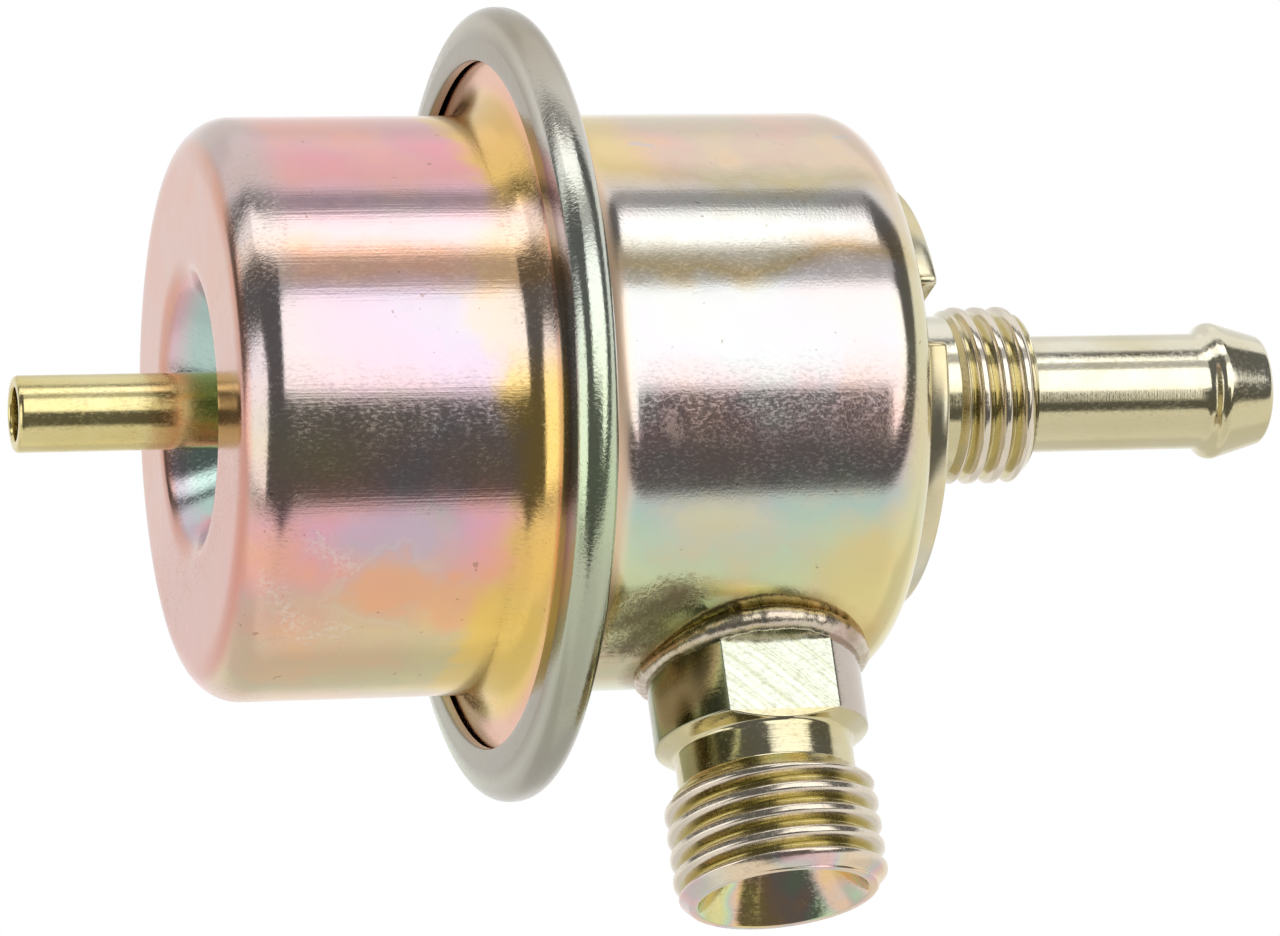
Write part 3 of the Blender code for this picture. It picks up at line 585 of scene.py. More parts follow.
class Nodes(Graph):
    """A material and its nodes. Its place is in metres, so noise scales are per metre."""

    def __init__(self, name, roughness, metallic=1.0):
        self.material = bpy.data.materials.new(name)
        self.material.use_nodes = True
        super().__init__(self.material.node_tree)
        self.shader = self.tree.nodes["Principled BSDF"]
        self.shader.inputs["Metallic"].default_value = metallic
        self.shader.inputs["Roughness"].default_value = roughness
        self.place = self.add("ShaderNodeTexCoord").outputs["Object"]

    def measure(self):
        """Set the place in mm, its x, y and z, and its distance out from the main axis."""
        self.spot = self.stretch((1.0 / MM, 1.0 / MM, 1.0 / MM))
        self.x, self.y, self.z = self.axes(self.spot)
        self.out = self.length(self.y, self.z)

    def stretch(self, scale):
        """The place, scaled along each axis."""
        node = self.add("ShaderNodeMapping")
        self.put(node.inputs["Vector"], self.place)
        node.inputs["Scale"].default_value = scale
        return node.outputs["Vector"]

    def noise(self, scale, detail, rough, seed, source=None):
        """Noise from 0 to 1, mostly near 0.5."""
        node = self.add("ShaderNodeTexNoise", noise_dimensions="4D")
        self.put(node.inputs["Vector"], source or self.place)
        self.put(node.inputs["W"], seed)
        self.put(node.inputs["Scale"], scale)
        self.put(node.inputs["Detail"], detail)
        self.put(node.inputs["Roughness"], rough)
        return node.outputs["Fac"]

    def wander(self, *settings, **more):
        """Noise either side of 0."""
        return self.minus(self.noise(*settings, **more), 0.5)

    def lines(self, scale, seed, detail=2.0):
        """Noise drawn out into lines by a scale for each axis."""
        return self.noise(1.0, detail, 0.6, seed, source=self.stretch(scale))

    def mix(self, share, a, b, kind="MIX"):
        """a where share is 0, b where it is 1. Sockets 6 and 7 in and 2 out are the colours."""
        node = self.add("ShaderNodeMix", data_type="RGBA", blend_type=kind)
        self.put(node.inputs[0], share)
        self.put(node.inputs[6], a)
        self.put(node.inputs[7], b)
        return node.outputs[2]

    def ramp(self, value, stops):
        """Colour at a value from 0 to 1, by (value, colour) stops."""
        node = self.add("ShaderNodeValToRGB")
        elements = node.color_ramp.elements
        elements.remove(elements[-1])
        for index, (place, colour) in enumerate(stops):
            stop = elements.new(place) if index else elements[0]
            stop.position = place
            stop.color = (*colour, 1.0)
        self.put(node.inputs[0], value)
        return node.outputs["Color"]

    def bump(self, height, distance, normal=None):
        """Normal of a skin whose height goes from 0 to 1 over distance in metres."""
        node = self.add("ShaderNodeBump")
        self.put(node.inputs["Height"], height)
        node.inputs["Distance"].default_value = distance
        if normal is not None:
            self.put(node.inputs["Normal"], normal)
        return node.outputs["Normal"]

    def done(self, colour, normal, roughness):
        """The material, with these as its colour, normal and roughness."""
        self.put(self.shader.inputs["Base Color"], colour)
        self.put(self.shader.inputs["Normal"], normal)
        self.put(self.shader.inputs["Roughness"], roughness)
        return self.material


def dress(piece, material):
    """Give the piece this one material."""
    piece.data.materials.clear()
    piece.data.materials.append(material)


def lit(red, green, blue):
    """Linear colour from an sRGB one."""
    return tuple(((c / 255.0 + 0.055) / 1.055) ** 2.4 for c in (red, green, blue))


# The passivated zinc's film: its colour by thickness, from thin to thick
FILM = [
    (0.00, lit(240, 204, 116)),
    (0.12, lit(242, 192, 126)),
    (0.24, lit(238, 176, 144)),
    (0.38, lit(232, 172, 168)),
    (0.50, lit(214, 172, 190)),
    (0.60, lit(184, 184, 192)),
    (0.70, lit(174, 202, 190)),
    (0.80, lit(200, 212, 176)),
    (0.90, lit(214, 206, 150)),
    (1.00, lit(236, 212, 150)),
]


def zones(n, height, stops):
    """Colour by height over the main axis in mm, from the top down."""
    top = 19.0
    share = n.span(height, top, -top, smooth=False)
    return n.ramp(share, [((top - at) / (2.0 * top), lit(*colour)) for at, colour in stops])


def grain(n, amount=1.0, streaks=0.0, deeper=None):
    """Small dents of the drawn and plated sheet, and draw lines along the axis."""
    dents = n.noise(5200.0, 2.0, 0.65, 1.3)
    if deeper is not None:
        dents = n.times(dents, deeper)
    normal = n.bump(dents, 4.6e-6 * amount)
    if streaks:
        lines = n.lines((90.0, 6000.0, 6000.0), 4.1, detail=3.0)
        normal = n.bump(lines, 6.0e-6 * streaks, normal=normal)
    return normal


def specks(n, low, high, seed, where=1.0):
    """Roughness of a plated skin, low with specks of high where where is 1."""
    fine = n.span(n.noise(5600.0, 2.0, 0.6, seed, source=n.stretch((0.5, 1.0, 1.0))), 0.44, 0.68)
    wide = n.span(n.noise(500.0, 3.0, 0.6, seed + 0.7), 0.3, 0.7, 0.85, 1.2)
    return n.times(n.plus(n.times(fine, where), high - low, low), wide)


def from_lines(n, *lines):
    """Distance in mm from the nearest of some straight lines, each (start, end)."""
    nearest = None
    for start, end in lines:
        way = Vector(end) - Vector(start)
        away = n.add("ShaderNodeVectorMath", operation="SUBTRACT")
        n.put(away.inputs[0], n.spot)
        away.inputs[1].default_value = start
        share = n.add("ShaderNodeVectorMath", operation="DOT_PRODUCT")
        n.put(share.inputs[0], away.outputs[0])
        share.inputs[1].default_value = way / way.length_squared
        along = n.add("ShaderNodeVectorMath", operation="SCALE")
        along.inputs[0].default_value = way
        n.put(along.inputs["Scale"], n.math("MULTIPLY", share.outputs["Value"], 1.0, clamp=True))
        gap = n.add("ShaderNodeVectorMath", operation="DISTANCE")
        n.put(gap.inputs[0], away.outputs[0])
        n.put(gap.inputs[1], along.outputs[0])
        gap = gap.outputs["Value"]
        nearest = gap if nearest is None else n.least(nearest, gap)
    return nearest


def from_inlet(n):
    """Distance in mm from the inlet's axis."""
    return n.length(n.sum(n.x, -INLET_X / MM), n.y)


def two_tone(n, seed, one, other):
    """Two close colours in soft patches, and the noise that parts them."""
    drift = n.noise(170.0, 3.0, 0.55, seed)
    return n.mix(n.span(drift, 0.32, 0.68), one, other), drift


def rainbow(n, scale, seed, low, high):
    """Patches of the film's colours."""
    return n.ramp(n.span(n.noise(scale, 2.0, 0.5, seed), low, high), FILM)


def housing_side(n, drift, small):
    """Colour of the housing's side: bands by height, partly painted light, patches of the film, yellow by
    the flange.
    """
    # the film's pink above and then orange below; along the middle the bands are painted light that follows
    # the studio's bands: pale greyish lilac where the highlights fall, grey green along the dark band
    height = n.plus(drift, 4.0, n.plus(small, 2.5, n.z))
    colour = zones(n, height, [
        (19.0, (216, 176, 120)), (17.5, (236, 164, 168)), (12.0, (236, 162, 168)), (9.0, (228, 164, 162)),
        (6.8, (218, 186, 196)), (4.0, (214, 190, 188)), (2.6, (226, 180, 148)), (1.2, (224, 180, 154)),
        (-0.2, (204, 189, 200)), (-4.8, (202, 189, 203)), (-6.5, (206, 188, 196)), (-8.5, (186, 186, 178)),
        (-11.5, (186, 186, 174)), (-12.6, (206, 176, 174)), (-13.6, (228, 170, 184)),
        (-15.2, (242, 172, 150)), (-17.0, (240, 178, 120)), (-19.0, (216, 192, 98)),
    ])
    thickness = n.plus(small, 0.7, n.plus(drift, 2.2, 0.44))
    # the film shows less along the middle, where the highlights fall: painted highlight
    share = n.plus(n.span(n.z, -12.0, -6.0), -0.26, n.span(n.z, 9.0, 13.0, 0.4, 0.52))
    colour = n.mix(share, colour, n.ramp(thickness, FILM))
    # a lilac patch, an orange one and the tide line beside it
    lilac = n.plus(small, 7.0, from_lines(n, ((-40.2, -12.6, -14.2), (-36.2, -12.2, -14.5))))
    colour = n.mix(n.span(lilac, 2.6, 0.8, 0.0, 0.6), colour, lit(196, 182, 196))
    orange = n.plus(small, 9.0, from_lines(n, ((-38.5, -9.4, -16.5), (-33.0, -8.6, -16.9))))
    colour = n.mix(n.span(orange, 3.2, 1.2, 0.0, 0.65), colour, lit(238, 176, 128))
    tide = n.math("ABSOLUTE", n.minus(orange, 3.1))
    tide = n.times(n.span(tide, 0.4, 0.1, 0.0, 0.12), n.span(n.x, -35.0, -37.5))
    colour = n.mix(tide, colour, lit(222, 220, 190))
    # yellow towards the flange, less so along the middle, where the main highlight falls: painted highlight
    near_flange = n.span(n.plus(drift, 12.0, n.plus(small, 6.0, n.x)), -32.0, -29.2, 0.0, 0.8)
    middle = n.band(n.z, -7.0, -3.0, 5.0, 7.0)
    return n.mix(n.times(near_flange, n.plus(middle, -0.7, 1.0)), colour, lit(234, 196, 96))


def housing_ends(n, small, colour):
    """The side's colour, changed at the rounded corner, the end's face, the recess and the flange."""
    corner = n.times(n.span(n.out, 15.4, 17.6), n.span(n.x, -42.6, -45.4))
    corner = n.times(corner, n.span(n.plus(small, 8.0, n.z), -14.0, 6.0, 0.15, 0.7))
    colour = n.mix(corner, colour, lit(196, 190, 184))
    face = n.times(n.span(n.x, -46.7, -47.2), n.span(n.z, -18.0, 18.0, 0.88, 0.94))
    blush = n.mix(n.span(small, -0.15, 0.15), lit(210, 154, 130), lit(206, 162, 146))
    colour = n.mix(face, colour, n.mix(n.span(n.z, 2.0, -12.0, 0.0, 0.8), blush, lit(202, 138, 122)))
    recess = n.times(n.span(n.x, -47.2, -45.2), n.span(n.out, 10.6, 9.2))
    deep = n.mix(n.span(n.plus(small, 12.0, n.z), -7.0, -4.0), lit(226, 170, 178), lit(176, 200, 192))
    colour = n.mix(recess, colour, deep)
    flange = n.times(n.span(n.x, -30.0, -28.6), n.span(n.out, 19.9, 21.3, 0.0, 0.9))
    return n.mix(flange, colour, lit(226, 168, 146))


def housing_finish():
    """The spring housing's plating, scratched at its end's lower edge."""
    n = Nodes("housing_finish", 0.16)
    n.measure()
    drift = n.wander(75.0, 2.0, 0.5, 2.7, source=n.stretch((0.8, 1.0, 1.0)))
    small = n.wander(240.0, 3.0, 0.6, 8.2)
    colour = housing_ends(n, small, housing_side(n, drift, small))
    # pale scratches, pale worn places and dull pits
    ragged = n.wander(1100.0, 4.0, 0.7, 5.5)
    broken = n.span(n.noise(2600.0, 3.0, 0.7, 5.9), 0.42, 0.62)
    scratch = from_lines(
        n, ((-45.6, -9.6, -16.0), (-43.2, -6.6, -17.8)), ((-42.4, -5.8, -18.1), (-40.2, -6.4, -17.9)),
        ((-42.6, -12.2, -14.4), (-40.6, -11.0, -15.5)),
    )
    scratch = n.times(n.span(n.plus(ragged, 3.5, scratch), 1.2, 0.1, 0.0, 0.38), broken)
    colour = n.mix(scratch, colour, lit(228, 224, 208))
    worn = n.times(n.span(ragged, 0.06, 0.26), n.span(n.noise(130.0, 2.0, 0.5, 3.3), 0.5, 0.62))
    worn = n.times(worn, n.span(n.x, -41.0, -45.0, 0.0, 0.35))
    colour = n.mix(worn, colour, lit(232, 226, 205))
    pits = n.times(n.span(n.noise(1500.0, 2.0, 0.5, 6.6), 0.70, 0.74), 0.5)
    colour = n.mix(pits, colour, lit(150, 120, 96))
    normal = n.bump(n.most(scratch, worn), 2.0e-5, normal=grain(n, streaks=1.0))
    # specks show in the two darker bands, and round the corner and by the flange
    rubbed = n.most(n.band(n.z, -13.0, -10.5, -6.0, -2.5), n.band(n.z, -0.5, 1.0, 2.5, 4.0, 0.6))
    ends = n.most(n.span(n.x, -43.2, -44.2), n.span(n.x, -30.6, -29.6))
    ends = n.times(ends, n.times(n.span(n.x, -47.3, -47.0), n.span(n.z, 14.0, 10.0)))
    rough = specks(n, 0.13, 0.26, 9.0, n.plus(n.most(rubbed, ends), 0.92, 0.08))
    return n.done(colour, normal, n.most(rough, n.times(scratch, 0.5)))


def chamber_side(n, drift, small):
    """Colour of the chamber's side and end: bands by height, partly painted light, and patches of the film.
    """
    # the film's cream and pink above and green and then yellow below; along the middle the bands are
    # painted light that follows the studio's bands: grey where the highlights fall, darker and brownish
    # grey where the dark bands fall
    height = n.plus(drift, 6.0, n.plus(small, 3.0, n.z))
    colour = zones(n, height, [
        (19.0, (206, 200, 150)), (17.5, (224, 206, 160)), (13.0, (238, 206, 180)), (10.0, (238, 204, 180)),
        (8.3, (206, 188, 150)), (6.5, (212, 208, 202)), (4.0, (212, 210, 205)), (1.7, (196, 174, 134)),
        (0.0, (205, 203, 202)), (-4.5, (205, 203, 205)), (-6.5, (208, 198, 194)), (-9.5, (206, 186, 176)),
        (-12.0, (200, 196, 184)), (-13.0, (184, 202, 186)), (-14.5, (200, 214, 182)),
        (-16.5, (212, 212, 154)), (-19.0, (204, 196, 138)),
    ])
    thickness = n.plus(small, 0.7, n.plus(drift, 1.9, 0.6))
    # the film shows less where the highlights fall: painted highlight
    share = n.plus(n.band(n.z, -8.0, -5.0, 7.0, 9.0), -0.14, 0.24)
    colour = n.mix(share, colour, n.ramp(thickness, FILM))
    yellow = n.times(n.span(n.plus(drift, 14.0, n.x), -17.5, -23.0), n.span(n.z, 6.0, 12.0))
    colour = n.mix(n.times(yellow, 0.7), colour, lit(232, 214, 140))
    golden = n.times(n.span(n.plus(drift, 8.0, n.x), -12.0, -7.0), n.span(height, -13.0, -15.5))
    colour = n.mix(n.times(golden, 0.65), colour, lit(230, 204, 132))
    shoulder = n.span(n.plus(small, 3.0, n.x), -5.2, -3.2, 0.0, 0.7)
    return n.mix(shoulder, colour, n.mix(n.span(n.z, -3.0, 12.0), lit(222, 214, 160), lit(228, 200, 176)))


def chamber_finish():
    """The fuel chamber's plating, greyer on the rolled rim and burnt beside the weld."""
    n = Nodes("chamber_finish", 0.16)
    n.measure()
    drift = n.wander(95.0, 2.0, 0.5, 11.7)
    small = n.wander(260.0, 3.0, 0.6, 12.2)
    colour = chamber_side(n, drift, small)
    # painted highlight, pale pink cream, where the side turns into the flange; a greyer rim; and a lip
    # painted darker as shade
    turn_out_highlight = n.times(n.span(n.x, -22.2, -23.4), n.span(n.out, 21.6, 20.6))
    colour = n.mix(n.times(turn_out_highlight, 0.8), colour, lit(240, 206, 172))
    rim = n.span(n.out, 21.4, 22.4)
    grey = n.ramp(n.span(n.plus(drift, 10.0, n.z), -26.0, 26.0, smooth=False), [
        (0.0, lit(158, 154, 142)), (0.25, lit(190, 204, 168)), (0.45, lit(202, 208, 196)),
        (0.7, lit(190, 186, 178)), (0.85, lit(160, 152, 138)),
    ])
    colour = n.mix(n.times(rim, 0.92), colour, grey)
    # painted shade: the lip darker where it faces the housing's flange
    lip_shade = n.times(n.span(n.x, -27.95, -28.15), rim)
    colour = n.mix(n.times(lip_shade, 0.85), colour, lit(140, 130, 112))
    # painted shadow, darker olive, in a ring just outside the weld bead, and burnt skin beside it
    ragged = n.wander(900.0, 4.0, 0.7, 14.0)
    speck = n.wander(3200.0, 3.0, 0.7, 14.6)
    beside = from_lines(
        n, ((-21.6, -6.0, -18.0), (-18.6, -8.4, -17.0)), ((-21.2, -3.4, -18.7), (-20.4, -5.4, -18.2))
    )
    burnt = n.span(n.plus(ragged, 3.4, n.plus(speck, 2.4, beside)), 2.3, 0.0)
    dot = n.plus(ragged, 1.6, from_lines(n, ((-6.8, -2.7, -18.8), (-6.3, -2.1, -18.8))))
    burnt = n.most(burnt, n.span(dot, 0.9, 0.2))
    # painted shadow ring just outside the weld bead
    bead_shadow = n.span(n.plus(ragged, 1.2, from_inlet(n)), 9.1, 7.9, 0.0, 0.8)
    bead_shadow = n.times(bead_shadow, n.times(n.span(n.z, -6.0, -9.0), n.span(n.x, -6.0, -10.5, 0.2, 1.0)))
    colour = n.mix(bead_shadow, colour, n.mix(1.0, colour, lit(172, 156, 104), "MULTIPLY"))
    colour = n.mix(n.times(burnt, 0.75), colour, lit(112, 96, 66))
    # pale marks on top, and dull pits
    marks = from_lines(
        n, ((-19.6, -14.9, 11.8), (-18.6, -15.0, 11.6)), ((-5.5, -14.4, 12.3), (-5.1, -14.2, 12.4))
    )
    marks = n.span(n.plus(ragged, 1.2, marks), 0.45, 0.15, 0.0, 0.6)
    colour = n.mix(marks, colour, lit(205, 200, 205))
    pits = n.times(n.span(n.noise(1700.0, 2.0, 0.5, 16.6), 0.70, 0.75), 0.45)
    colour = n.mix(pits, colour, lit(130, 112, 84))
    # specks show in the three darker bands and on the rim
    rubbed = n.most(n.band(n.z, -13.0, -11.0, -6.0, -2.5), n.band(n.z, -0.5, 1.0, 2.5, 4.0, 0.8))
    rubbed = n.most(rubbed, n.band(n.z, 7.0, 8.5, 10.5, 12.0, 0.6))
    rubbed = n.most(rubbed, n.times(rim, n.span(drift, -0.15, 0.1, 0.3, 0.9)))
    rough = specks(n, 0.12, 0.27, 19.0, n.plus(rubbed, 0.92, 0.08))
    # dull where it is burnt, where the side turns out, and at one scuff
    scuff = from_lines(n, ((-20.1, -16.9, -8.5), (-19.9, -16.5, -9.4)))
    scuff = n.span(n.plus(ragged, 3.0, n.plus(speck, 3.0, scuff)), 1.2, 0.0)
    for mask, dull in ((burnt, 0.5), (turn_out_highlight, 0.4), (scuff, 0.28)):
        rough = n.most(rough, n.times(mask, dull))
    crust = n.times(n.noise(4200.0, 3.0, 0.65, 15.0), burnt)
    normal = n.bump(crust, 5e-5, normal=grain(n, streaks=0.35, deeper=n.plus(rim, 2.6, 1.0)))
    return n.done(colour, normal, rough)


def turned_finish(name, base, other, roughness, seed, along=None):
    """Plated steel of two close colours. along is the scale of its turning marks, if it shows any."""
    n = Nodes(name, roughness)
    colour, _ = two_tone(n, 21.0 + seed, base, other)
    fine = n.noise(1100.0, 3.0, 0.65, 22.0 + seed)
    colour = n.mix(n.span(fine, 0.52, 0.8, 0.0, 0.3), colour, lit(170, 156, 120))
    normal = n.bump(n.noise(4500.0, 2.0, 0.6, 24.0 + seed), 3.0e-6)
    if along:
        normal = n.bump(n.lines(along, 23.0), 2.2e-6, normal=normal)
    return n.done(colour, normal, specks(n, roughness - 0.02, roughness + 0.12, 25.0 + seed))


def inlet_finish():
    """The turned inlet, whose collar has two milled flats."""
    n = Nodes("inlet_finish", 0.12)
    n.measure()
    colour, _ = two_tone(n, 33.0, lit(214, 206, 176), lit(208, 196, 150))
    # the flats, pale and crossed by arcs of the milling cutter
    flat = n.times(n.span(n.math("ABSOLUTE", n.y), 5.90, 5.94), n.span(n.z, -24.2, -24.0))
    sweep = n.length(n.sum(n.x, 52.0), n.sum(n.z, 66.0))
    sweep = n.plus(n.noise(500.0, 2.0, 0.5, 35.0), 0.5, sweep)
    rings = n.add("ShaderNodeCombineXYZ")
    n.put(rings.inputs[0], sweep)
    arcs = n.noise(3.2, 3.0, 0.7, 34.0, source=rings.outputs[0])
    milled = n.mix(n.span(arcs, 0.4, 0.7), lit(228, 234, 218), lit(196, 198, 170))
    colour = n.mix(flat, colour, milled)
    # the collar's side, painted as the light falls on it: a dark brownish olive shade on the left, greyish
    # pink on the right
    unmilled = n.minus(1.0, flat)
    collar = n.times(n.span(n.z, -24.2, -24.0), unmilled)
    colour = n.mix(n.times(collar, n.span(n.x, -10.0, -8.0, 0.0, 0.85)), colour, lit(192, 180, 174))
    colour = n.mix(n.times(collar, n.span(n.x, -13.2, -15.2, 0.0, 0.85)), colour, lit(146, 148, 126))
    fine = n.noise(1100.0, 3.0, 0.65, 36.0)
    colour = n.mix(n.span(fine, 0.52, 0.8, 0.0, 0.3), colour, lit(176, 160, 118))
    # painted light on the thread: crests paler as highlight, grooves olive as shade
    around = from_inlet(n)
    threaded = n.span(n.z, -27.0, -27.6)
    colour = n.mix(n.times(threaded, n.span(around, 6.5, 6.25, 0.0, 0.7)), colour, lit(198, 184, 126))
    colour = n.mix(n.times(threaded, n.span(around, 6.45, 6.7, 0.0, 0.8)), colour, lit(224, 212, 198))
    # the mouth's ring and cone, where the film shows its colours
    ring = n.mix(0.4, lit(226, 204, 192), rainbow(n, 160.0, 40.0, 0.35, 0.65))
    colour = n.mix(n.times(n.span(n.z, -33.8, -34.4), n.span(around, 5.5, 5.8)), colour, ring)
    cone = n.times(n.span(around, 5.75, 5.6), n.span(n.z, -30.0, -30.6))
    colour = n.mix(cone, colour, n.mix(0.6, lit(214, 218, 150), rainbow(n, 210.0, 39.0, 0.3, 0.7)))
    turned = n.times(n.lines((60.0, 60.0, 6000.0), 37.0), unmilled)
    normal = n.bump(turned, 4.0e-6, normal=n.bump(n.times(arcs, flat), 6.0e-6))
    dull = n.plus(flat, 0.08, n.times(n.minus(threaded, cone), 0.08))
    return n.done(colour, normal, n.sum(dull, specks(n, 0.09, 0.24, 38.0)))


def outlet_finish():
    """The turned outlet, paler above and yellower below, its thread's grooves brown."""
    n = Nodes("outlet_finish", 0.12)
    n.measure()
    colour, drift = two_tone(n, 24.0, lit(232, 227, 210), lit(222, 214, 184))
    low = n.span(n.plus(drift, 1.6, n.z), 0.0, -1.6, 0.0, 0.75)
    colour = n.mix(low, colour, lit(200, 188, 142))
    threaded = n.band(n.x, 3.8, 4.4, 8.6, 9.0)
    colour = n.mix(n.times(threaded, n.span(n.out, 5.6, 5.3, 0.0, 0.7)), colour, lit(212, 200, 152))
    colour = n.mix(n.times(threaded, n.span(n.out, 5.5, 5.75, 0.0, 0.7)), colour, lit(226, 214, 200))
    normal = n.bump(n.noise(4500.0, 2.0, 0.6, 27.0), 3.0e-6)
    normal = n.bump(n.lines((8000.0, 60.0, 60.0), 23.0), 2.2e-6, normal=normal)
    return n.done(colour, normal, specks(n, 0.1, 0.24, 28.0))


def nipple_finish():
    """Plain tube, yellower than the turned pieces, with painted olive shade and reflection down in the
    recess.
    """
    n = Nodes("nipple_finish", 0.12)
    n.measure()
    colour, drift = two_tone(n, 71.0, lit(222, 210, 158), lit(214, 196, 130))
    # painted shade and reflection: olive where the tube stands down in the recess
    colour = n.mix(n.span(n.plus(drift, 1.5, n.x), -47.6, -46.0, 0.0, 0.85), colour, lit(178, 178, 116))
    normal = n.bump(n.noise(3500.0, 2.0, 0.6, 73.0), 3.0e-6)
    normal = n.bump(n.lines((120.0, 5000.0, 5000.0), 72.0), 2.5e-6, normal=normal)
    return n.done(colour, normal, specks(n, 0.15, 0.28, 74.0))


def weld_finish():
    """Weld metal with a brown crust."""
    n = Nodes("weld_finish", 0.24)
    crust = n.noise(5200.0, 3.0, 0.6, 31.0)
    colour = n.ramp(n.noise(260.0, 3.0, 0.6, 32.0), [
        (0.25, lit(190, 170, 128)), (0.45, lit(212, 200, 178)), (0.6, lit(202, 180, 166)),
        (0.8, lit(160, 140, 104)),
    ])
    colour = n.mix(n.span(crust, 0.62, 0.74, 0.0, 0.5), colour, lit(120, 92, 64))
    return n.done(colour, n.bump(crust, 2.4e-5), n.span(crust, 0.3, 0.7, 0.16, 0.34))


def plate_finish():
    """Plated sheet in soft patches."""
    n = Nodes("plate_finish", 0.22)
    colour = n.ramp(n.noise(140.0, 3.0, 0.55, 41.0), [
        (0.3, lit(210, 196, 150)), (0.48, lit(220, 208, 172)), (0.62, lit(206, 202, 182)),
        (0.75, lit(214, 192, 172)),
    ])
    return n.done(colour, grain(n, 0.9), n.span(n.noise(500.0, 3.0, 0.6, 42.0), 0.3, 0.7, 0.17, 0.3))


def cloth_finish():
    """Rubber-coated cloth of the diaphragm, with its weave."""
    n = Nodes("cloth_finish", 0.7, metallic=0.0)
    _, y, z = n.axes(n.place)
    threads = 12000.0
    weave = n.times(n.math("SINE", n.times(y, threads)), n.math("SINE", n.times(z, threads)))
    drift = n.noise(400.0, 3.0, 0.6, 51.0)
    colour = n.mix(drift, lit(66, 60, 54), lit(92, 84, 74))
    colour = n.mix(n.span(weave, -0.6, 0.8, 0.0, 0.4), colour, lit(120, 110, 96))
    return n.done(colour, n.bump(weave, 2.5e-5), n.span(drift, 0.3, 0.7, 0.6, 0.8))


# The pieces and their materials

STEEL = lit(186, 184, 178)
spring_wire = turned_finish("spring_finish", lit(150, 150, 150), lit(120, 122, 124), 0.3, 6.0)
braze = turned_finish("nipple_braze_finish", lit(158, 150, 92), lit(190, 178, 132), 0.22, 2.0)
stamped = turned_finish("stamped_finish", STEEL, lit(170, 166, 158), 0.28, 7.0)
turned = turned_finish("turned_steel_finish", STEEL, lit(196, 192, 182), 0.2, 8.0, (8000.0, 60.0, 60.0))
ground = turned_finish("ground_finish", lit(200, 200, 200), lit(188, 188, 190), 0.1, 9.0)
brass = turned_finish("braze_finish", lit(196, 170, 96), lit(176, 150, 84), 0.25, 10.0)

dress(make_spring_housing(), housing_finish())
dress(make_fuel_chamber(), chamber_finish())
dress(make_locating_plate(), plate_finish())
dress(make_nipple(), nipple_finish())
dress(make_nipple_braze(), braze)
dress(make_outlet(), outlet_finish())
dress(make_inlet(), inlet_finish())
dress(make_weld(), weld_finish())
dress(make_compression_spring(), spring_wire)
dress(make_diaphragm(), cloth_finish())

# the pieces that keep the CAD shape
for material, nodes in (
    (stamped, ("upper_spring_seat", "spring_plate", "support_washer", "ball_retainer")),
    (turned, ("valve_holder", "valve_seat")),
    (ground, ("valve_ball", "valve_disc")),
    (spring_wire, ("ball_spring",)),
    (brass, ("outlet_braze_ring",)),
):
    for node in nodes:
        dress(frame["nodes"][node], material)


# Studio

def make_camera():
    """Camera of the photo, fitted to the part's outlines in it."""
    azimuth, elevation, roll = (math.radians(angle) for angle in (-16.64, -21.71, -7.6))
    target, distance = Vector((-17.54, 0.0, -4.73)) * MM, 0.41351
    photo_width, focal_length, sensor_width = 1280.0, 6279.0, 36.0  # pixels, pixels, mm
    back = Vector((
        math.sin(azimuth) * math.cos(elevation),
        -math.cos(azimuth) * math.cos(elevation),
        math.sin(elevation),
    ))
    right = (-back).cross(Vector((0, 0, 1))).normalized()
    up = right.cross(-back)
    right_rolled = right * math.cos(roll) + up * math.sin(roll)
    up_rolled = up * math.cos(roll) - right * math.sin(roll)
    data = bpy.data.cameras.new("camera")
    data.sensor_width = sensor_width
    data.lens = focal_length / photo_width * sensor_width
    data.clip_start = 0.01
    data.clip_end = 20.0
    camera = new_object("camera", data)
    turn = Matrix((right_rolled, up_rolled, back)).transposed()
    camera.matrix_world = Matrix.Translation(target + back * distance) @ turn.to_4x4()
    bpy.context.scene.camera = camera


# Strength, softness and convex outline of each part of the studio, later ones over earlier ones.
# The corners are (azimuth, elevation) in degrees. Azimuth is 0 towards -Y and grows towards -X.
STUDIO = [
    (0.9, 30.0, [(179, -60), (-179, -60), (-179, -95), (179, -95)]),
    (0.82, 12.0, [(190, -10), (120, -10), (120, -46), (190, -46)]),
    (0.82, 12.0, [(-190, -10), (-108, -10), (-108, -46), (-190, -46)]),
    (0.84, 12.0, [(190, 40), (128, 40), (128, 66), (190, 66)]),
    (0.84, 12.0, [(-190, 40), (-110, 40), (-110, 66), (-190, 66)]),
    (0.14, 8.0, [
        (152, 21), (100, 50), (72, 64), (20, 70), (-28, 68), (-62, 52), (-90, 34), (-80, 8),
        (-70, -18), (-54, -42), (-30, -58), (0, -67), (34, -70), (66, -60), (92, -27),
    ]),
    (0.42, 5.0, [(72, 66), (20, 72), (-28, 70), (-58, 50), (-30, 54), (30, 55), (60, 54)]),
    (0.56, 5.0, [(4, 42), (-34, 41), (-48, 30), (-42, 22), (4, 22)]),
    (1.7, 5.0, [
        (8, 18), (2, 21), (-20, 23.5), (-36, 23), (-48, 19), (-53, 0), (-47, -12), (-24, -18), (12, -17),
    ]),
    (1.7, 5.0, [(-20, -14), (-26, -37), (-44, -22), (-50, -8)]),
    (1.85, 5.0, [(60, 38), (60, 56), (30, 57.5), (-30, 56), (-30, 38.5)]),
    (1.4, 4.0, [(116, 26), (112, 32), (60, 56), (60, 37)]),
    (1.5, 4.0, [(126, 12), (98, 14), (58, 11), (50, -4), (60, -22), (76, -35), (92, -24), (110, -3)]),
]


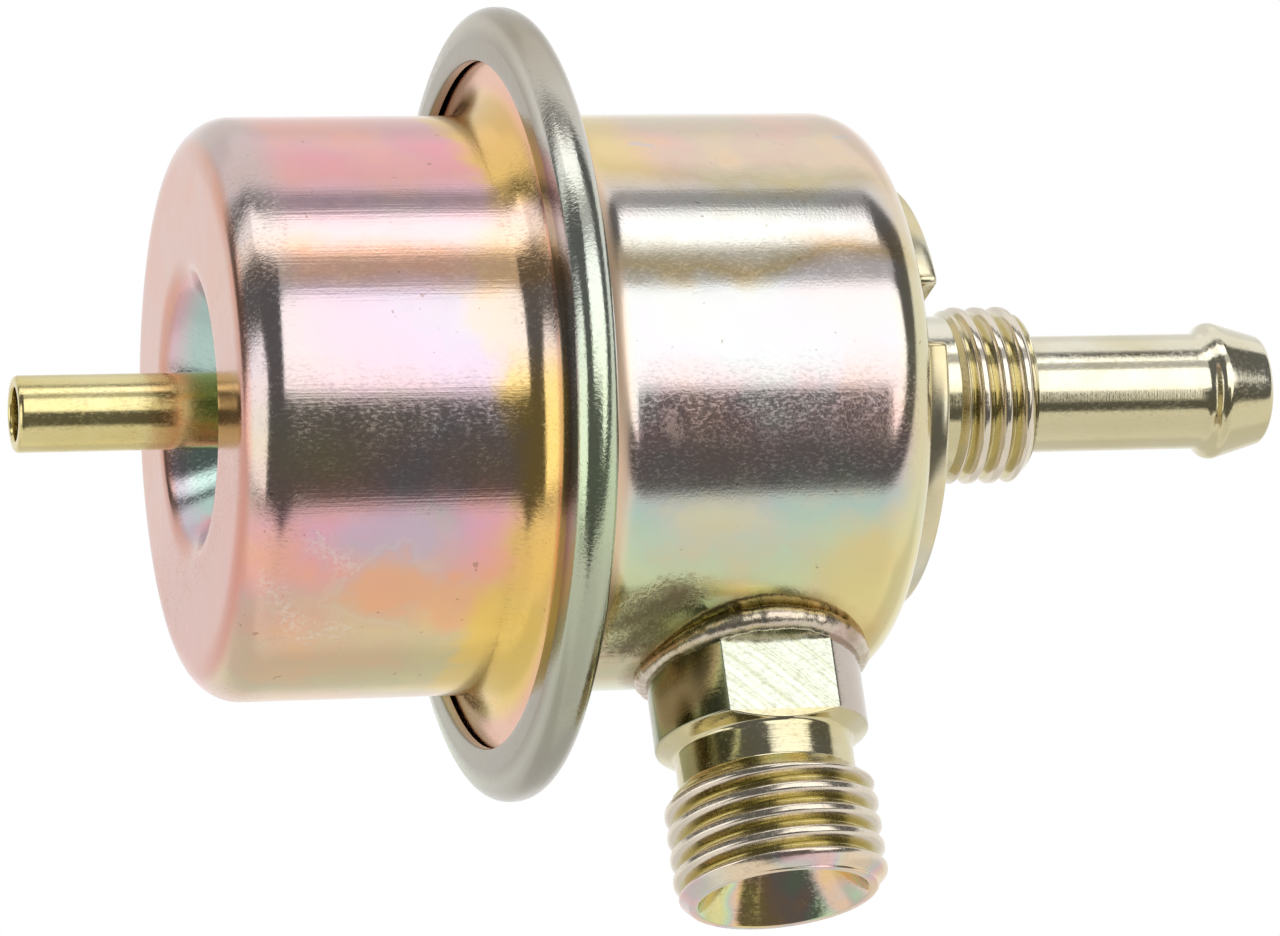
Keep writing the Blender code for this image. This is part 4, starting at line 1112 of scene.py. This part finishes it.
def within(g, azimuth, elevation, corners, soft):
    """1 inside the outline, 0 outside it, and soft degrees between."""
    middle_a = sum(corner[0] for corner in corners) / len(corners)
    middle_e = sum(corner[1] for corner in corners) / len(corners)
    share = 1.0
    for (a0, e0), (a1, e1) in zip(corners, corners[1:] + corners[:1]):
        length = math.hypot(a1 - a0, e1 - e0)
        way_a, way_e = (e0 - e1) / length, (a1 - a0) / length
        if (middle_a - a0) * way_a + (middle_e - e0) * way_e < 0.0:
            way_a, way_e = -way_a, -way_e
        depth = g.sum(g.times(azimuth, way_a), g.times(elevation, way_e))
        edge = a0 * way_a + e0 * way_e
        share = g.times(share, g.span(depth, edge - 0.5 * soft, edge + 0.5 * soft))
    return share


def make_world():
    """White room whose camera side is dark with bright panels, as a product studio is."""
    world = bpy.data.worlds.new("studio")
    world.use_nodes = True
    bpy.context.scene.world = world
    world.node_tree.nodes.clear()
    g = Graph(world.node_tree)
    x, y, z = g.axes(g.add("ShaderNodeTexCoord").outputs["Generated"])
    azimuth = g.math("DEGREES", g.math("ARCTAN2", g.times(x, -1.0), g.times(y, -1.0)))
    elevation = g.math("DEGREES", g.math("ARCSINE", z))
    level = 1.0
    for strength, soft, corners in STUDIO:
        share = within(g, azimuth, elevation, corners, soft)
        level = g.sum(level, g.times(share, g.minus(strength, level)))
    # the camera itself sees plain white
    seen = g.add("ShaderNodeLightPath").outputs["Is Camera Ray"]
    level = g.sum(level, g.times(seen, g.minus(1.0, level)))
    room = g.add("ShaderNodeBackground")
    g.put(room.inputs["Color"], (1.0, 1.0, 1.0))
    g.put(room.inputs["Strength"], level)
    g.put(g.add("ShaderNodeOutputWorld").inputs[0], room.outputs[0])
    world.cycles.sampling_method = "MANUAL"
    world.cycles.sample_map_resolution = 1024


make_camera()
make_world()

bpy.context.scene.view_settings.view_transform = "Standard"

floor_half, floor_z = 3.0, -0.6
floor_mesh = bpy.data.meshes.new("floor")
floor_mesh.from_pydata(
    [(x * floor_half, y * floor_half, floor_z) for x, y in ((-1, -1), (1, -1), (1, 1), (-1, 1))],
    [], [(0, 1, 2, 3)],
)
floor = new_object("floor", floor_mesh)
floor_look = Nodes("floor", 0.6, metallic=0.0)
paper = floor_look.noise(40.0, 4.0, 0.6, 61.0)
floor_look.done(
    floor_look.mix(paper, lit(240, 240, 240), lit(246, 246, 246)), floor_look.bump(paper, 2e-4),
    floor_look.span(paper, 0.3, 0.7, 0.5, 0.7),
)
floor_mesh.materials.append(floor_look.material)
floor.visible_camera = False
floor.visible_glossy = False
